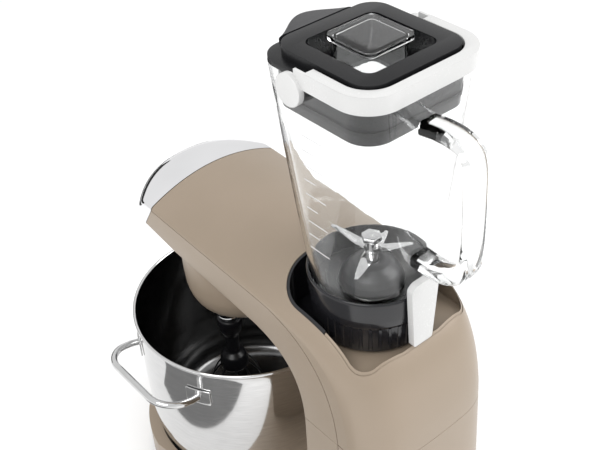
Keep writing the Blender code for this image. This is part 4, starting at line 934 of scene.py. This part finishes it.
def jug_handle():
    """Thick glass handle down the back of the jug."""
    line = [(0.2380, 0.5125)]
    line += bezier((0.2560, 0.5150), (0.2795, 0.5170), (0.2915, 0.5120), (0.2910, 0.4900), 5)
    line += bezier((0.2910, 0.4900), (0.2930, 0.4500), (0.2940, 0.4300), (0.2895, 0.4150), 3)
    line += bezier((0.2895, 0.4150), (0.2855, 0.4000), (0.2745, 0.3935), (0.2560, 0.3930), 4)
    line += [(0.2560, 0.3930), (0.2330, 0.3940)]
    points = np.array(line)
    run = np.gradient(points, axis=0)
    run /= np.linalg.norm(run, axis=1)[:, None]
    half, thick = 0.0098, 0.0062
    corners = eased([(half, thick), (-half, thick), (-half, -thick), (half, -thick)], 0.0052, True)
    rings = []
    for (y, z), (dy, dz) in zip(points, run):
        rings.append([(a, y - dz * b, z + dy * b) for a, b in corners])
    return loft("handle", rings)


def spout(name, inset, low, high, steps=6):
    """Wide rounded lip that swells forward from the jug's mouth as it rises."""
    rings = []
    for k in range(steps + 1):
        share = k / steps
        z = low + (high - low) * share
        swell = 0.0195 * min(1.0, (z - 0.4950) / (GLASS_TOP_Z - 0.4950)) ** 1.3
        front = []
        for i in range(-12, 13):
            x = (0.0400 - inset) * i / 12
            bump = math.cos(math.pi / 2 * i / 12) ** 2
            front.append((x, JUG_Y - 0.0560 + inset - swell * bump, z))
        rings.append(front + [(0.0400 - inset, JUG_Y - 0.0400, z), (inset - 0.0400, JUG_Y - 0.0400, z)])
    return loft(name, rings)


def jug():
    """Tall glass jug with a scale, its dark ribbed collar and the white lock tab."""
    heights = [GLASS_LOW_Z + (GLASS_TOP_Z - GLASS_LOW_Z) * k / 24 for k in range(25)]
    glass = loft("glass", [jug_ring(z) for z in heights])
    join(glass, jug_handle())
    join(glass, spout("spout_outside", 0.0, 0.4951, GLASS_TOP_Z - 0.0002))
    inside = [GLASS_LOW_Z + 0.0060] + heights[1:] + [GLASS_TOP_Z + 0.0100]
    hollow = loft("hollow", [jug_ring(z, -GLASS_WALL) for z in inside])
    throat = spout("spout_inside", 0.0030, 0.4990, GLASS_TOP_Z + 0.0100)
    cut(glass, hollow, throat, drum("floor_hole", 0.0230, 0.32, 0.35, (0.0, JUG_Y)))
    finished(glass, "jug_glass", "jug", GLASS)

    profile = [(0.0512, 0.3560), (0.0520, 0.3575), (0.0530, 0.3575), (0.0540, 0.3560)]
    profile += [(0.0530, 0.3380), (0.0522, 0.3310)]
    profile += [(0.0505, 0.3290), (0.0495, JUG_FOOT_Z + 0.0010), (0.0487, JUG_FOOT_Z), (0.0450, JUG_FOOT_Z)]
    profile += [(0.0455, 0.3225), (0.0260, 0.3225), (0.0260, 0.3280), (0.0492, 0.3280), (0.0500, 0.3345)]
    collar = turned("collar", profile, (0.0, JUG_Y), closed=True)
    ribs = shifted(ribbed(40, 0.0500, 0.0008, 0.0008), 0.0, JUG_Y)
    join(collar, plate("ribs", [ribs, circle((0.0, JUG_Y), 0.0470)], 0.3060, 0.3280))
    finished(collar, "jug_collar", "jug", GLOSS)
    outline = [(-0.0095, 0.3100), (0.0110, 0.3100), (0.0150, 0.3700)]
    outline += [(0.0100, 0.3745), (-0.0100, 0.3745), (-0.0150, 0.3700)]
    lug = plate("lug", [eased(outline, 0.0025, True)], JUG_Y + 0.0545, JUG_Y + 0.0605, "Y", 0.0012)
    finished(lug, "collar_lug", "jug", WHITE)
    upright = Matrix.Rotation(math.pi / 2, 4, "Z") @ Matrix.Rotation(math.pi / 2, 4, "X")
    for k in range(MARK_COUNT):
        z = MARK_LOW_Z + MARK_STEP * k
        side_x = max(x for x, _, _ in jug_ring(z))
        wide = 0.0110 if k % 2 == 0 else 0.0060
        line = [(-wide, -0.0004), (wide, -0.0004), (wide, 0.0004), (-wide, 0.0004)]
        mark = plate(f"mark_{k}", [line], 0.0, 0.0002)
        placed(mark, upright, side_x - 0.00005, JUG_Y - 0.0130 + wide, z)
        mark.data.materials.append(MARKS)
        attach(mark, "jug")


def blades():
    """Bearing dome, the two ground blades and the hexagonal nut."""
    at = (0.0, JUG_Y)
    half = 0.0335  # of a blade's length
    flat = 0.0095  # how far out it starts to bend
    dome = [(0.0056, 0.3620), (0.0110, 0.3620), (0.0150, 0.3608), (0.0190, 0.3578)]
    dome += [(0.0225, 0.3538), (0.0255, 0.3490)]
    dome += [(0.0270, 0.3440), (0.0270, 0.3412), (0.0225, 0.3412), (0.0225, 0.3120), (0.0056, 0.3120)]
    finished(turned("dome", dome, at, closed=True), "blade_bearing", "jug", GREY)
    for name, z, turn, lift in (("blade_low", 0.3690, 25.0, -0.0035), ("blade_high", 0.3750, 115.0, 0.0110)):
        rings = []
        for k in range(-12, 13):
            share = abs(k) / 12
            a = half * k / 12
            bent = max(0.0, (abs(a) - flat) / (half - flat))
            b = lift * bent + 0.0007
            wide = 0.0055 * (1.0 - 0.72 * share**2.2)
            tooth = 0.0006 * (k % 2) * (share > 0.35)
            thick = 0.0007 * (1.0 - 0.4 * share)
            section = [(-wide + tooth, b), (-wide * 0.55, b + thick), (wide, b + thick)]
            section += [(wide, b - thick), (-wide * 0.55, b - thick)]
            rings.append([(a, w, h) for w, h in section])
        blade = loft(name, rings)
        placed(blade, Matrix.Rotation(math.radians(turn), 4, "Z"), 0.0, JUG_Y, z)
        cut(blade, drum("hole", 0.0055, 0.35, 0.40, at))
        finished(blade, name, "blades", STAINLESS)
    nut = plate("nut", [circle(at, 0.0085, 6)], 0.3823, 0.3870, edge=0.0008)
    finished(nut, "blade_nut", "blades", STAINLESS)


def lid():
    """Dark lid with its raised frame, the spout's cover, the white bail and the clear cup."""
    centre = (0.0, JUG_Y)
    low = GLASS_TOP_Z + GAP
    cover = plate("lid", [rounded_square(0.0575, 0.0200, 5, centre)], low, low + 0.0040, edge=0.0008)
    raised = plate("frame", [rounded_square(0.0495, 0.0170, 5, centre)], low + 0.002, LID_TOP_Z, edge=0.0022)
    plug = plate("plug", [rounded_square(0.0515, 0.0200, 5, centre)], 0.5120, low + 0.002, edge=0.0008)
    join(cover, raised, plug)
    recess = plate("recess", [rounded_square(0.0345, 0.0080, 4, centre)], 0.5300, 0.60)
    hollow = plate("plug_hollow", [rounded_square(0.0480, 0.0170, 5, centre)], 0.50, 0.5270)
    mouth = plate("cup_mouth", [rounded_square(0.0205, 0.0050, 4, centre)], 0.50, 0.60)
    cut(cover, recess, hollow, mouth)
    finished(cover, "lid_cover", "lid", SATIN)
    tip = spout("tip", -0.0012, low, 0.5520, 2)
    soften(tip, 0.0015, 3)
    cut(tip, plate("shade", [rounded_square(0.0582, 0.0200, 5, centre)], 0.50, 0.60))
    finished(tip, "spout_cover", "lid", GREY)

    end = BAIL_Y + 0.0040
    outer = bail_line(BAIL_HALF, 0.0280, end)
    inner = bail_line(BAIL_HALF - 0.0022, 0.0243, end)
    bail = plate("bail", [outer + inner[::-1]], 0.5410, BAIL_TOP_Z - 0.0005, edge=0.0006)
    end = BAIL_Y + 0.0150
    outer = bail_line(BAIL_HALF - 0.0002, 0.0278, end)
    inner = bail_line(BAIL_HALF - 0.0088, 0.0225, end)
    top = plate("bail_top", [outer + inner[::-1]], BAIL_TOP_Z - 0.0056, BAIL_TOP_Z, edge=0.0010)
    join(bail, top)
    for side in (-1, 1):
        disc = [(0.0, 0.0028), (0.0128, 0.0028), (0.0128, -0.0028), (0.0, -0.0028)]
        boss = along_x(turned("boss", disc, reach=0.0010), BAIL_Y, BAIL_Z)
        boss.data.transform(Matrix.Translation((side * (BAIL_HALF + 0.0006) - HALF_WIDTH, 0.0, 0.0)))
        join(bail, boss)
    finished(bail, "lid_bail", "bail", WHITE)

    top = 0.5625
    cup = plate("cup", [rounded_square(0.0200, 0.0050, 4, centre)], 0.5150, top - 0.002)
    flange = plate("flange", [rounded_square(0.0232, 0.0060, 4, centre)], top - 0.0040, top, edge=0.0008)
    join(cup, flange)
    cut(cup, plate("cup_inside", [rounded_square(0.0180, 0.0040, 4, centre)], 0.50, top - 0.0025))
    finished(cup, "measuring_cup", "cup", CLEAR)


def bail_line(half, corner, end):
    """Open U round the back of the lid, from its right end to its left one."""
    hub = half - corner
    right = [(half, end)] + arc((hub, JUG_Y + hub), corner, 0.0, 90.0, 6)
    return right + [(-x, y) for x, y in reversed(right)]


# ---------------------------------------------------------------- studio


FLOOR_SIZE = 12.0
WORLD_STRENGTH = 0.88
LAMPS = (
    ("key", (1.3, 0.5, 1.9), (0.0, 0.0, 0.25), (1.2, 1.2), 22.0),
    ("right", (-1.2, 1.1, 1.3), (0.0, 0.0, 0.20), (1.0, 1.4), 20.0),
)
CARDS = (
    ("card_front", (0.25, -1.50, 0.20), (0.25, 0.0, 0.20), (1.30, 0.50), 0.012),
    ("card_near", (-0.02, -0.95, 0.012), (-0.02, -0.95, -1.0), (0.80, 0.50), 0.060),
    ("card_side", (0.36, -0.02, 0.012), (0.36, -0.02, -1.0), (0.34, 0.36), 0.200),
)

EYE = (0.43608, 0.55835, 0.88220)
LOOK_RIGHT = (-0.76019747, 0.64798737, -0.04703372)
LOOK_AHEAD = (-0.49298615, -0.62247592, -0.60785556)
LENS_MM = 60.33
SENSOR_MM = 36.0


def sheet(name, size, finish):
    """Flat rectangle with its middle at its own origin."""
    x, y = size[0] / 2, size[1] / 2
    mesh = bpy.data.meshes.new(name)
    mesh.from_pydata([(-x, -y, 0), (x, -y, 0), (x, y, 0), (-x, y, 0)], [], [(0, 1, 2, 3)])
    mesh.materials.append(finish)
    return mesh


def set_up(name, data, place, aim):
    """An object of the studio, facing its aim."""
    obj = bpy.data.objects.new(name, data)
    obj.location = place
    obj.rotation_euler = (Vector(aim) - Vector(place)).to_track_quat("-Z", "Y").to_euler()
    bpy.context.scene.collection.objects.link(obj)
    return obj


def studio():
    """Plain pale floor, bright world, soft lamps, and dark cards seen only in glossy reflections."""
    pale = surface("floor_paper", (0.955, 0.955, 0.955), (0.965, 0.965, 0.965), (0.75, 0.85), 300.0, 0.00001)
    floor = bpy.data.objects.new("floor", sheet("floor", (FLOOR_SIZE, FLOOR_SIZE), pale))
    bpy.context.scene.collection.objects.link(floor)

    world = bpy.data.worlds.new("studio")
    world.use_nodes = True
    bpy.context.scene.world = world
    background = world.node_tree.nodes["Background"]
    background.inputs["Color"].default_value = (1.0, 1.0, 1.0, 1.0)
    background.inputs["Strength"].default_value = WORLD_STRENGTH

    for name, place, aim, size, power in LAMPS:
        lamp = bpy.data.lights.new(name, "AREA")
        lamp.shape = "RECTANGLE"
        lamp.size, lamp.size_y = size
        lamp.energy = power
        set_up(name, lamp, place, aim)

    for name, place, aim, size, tone in CARDS:
        dark = surface(name, [tone] * 3, [tone * 1.1] * 3, (0.8, 0.9), 200.0)
        card = set_up(name, sheet(name, size, dark), place, aim)
        card.visible_camera = False
        card.visible_diffuse = False
        card.visible_shadow = False
        card.visible_transmission = False


def camera():
    """View over the machine's right rear, down on the bowl."""
    right = Vector(LOOK_RIGHT)
    ahead = Vector(LOOK_AHEAD)
    up = right.cross(ahead)
    rows = [[right[k], up[k], -ahead[k], EYE[k]] for k in range(3)]
    lens = bpy.data.cameras.new("camera")
    lens.lens = LENS_MM
    lens.sensor_width = SENSOR_MM
    lens.clip_start = 0.01
    obj = bpy.data.objects.new("camera", lens)
    obj.matrix_world = Matrix(rows + [[0.0, 0.0, 0.0, 1.0]])
    bpy.context.scene.collection.objects.link(obj)
    bpy.context.scene.camera = obj


finish_frame()
head_covers()
well()
column()
base()
controls()
hub_and_whisk()
bowl()
jug()
blades()
lid()
studio()
camera()
bpy.context.scene.view_settings.view_transform = "Standard"
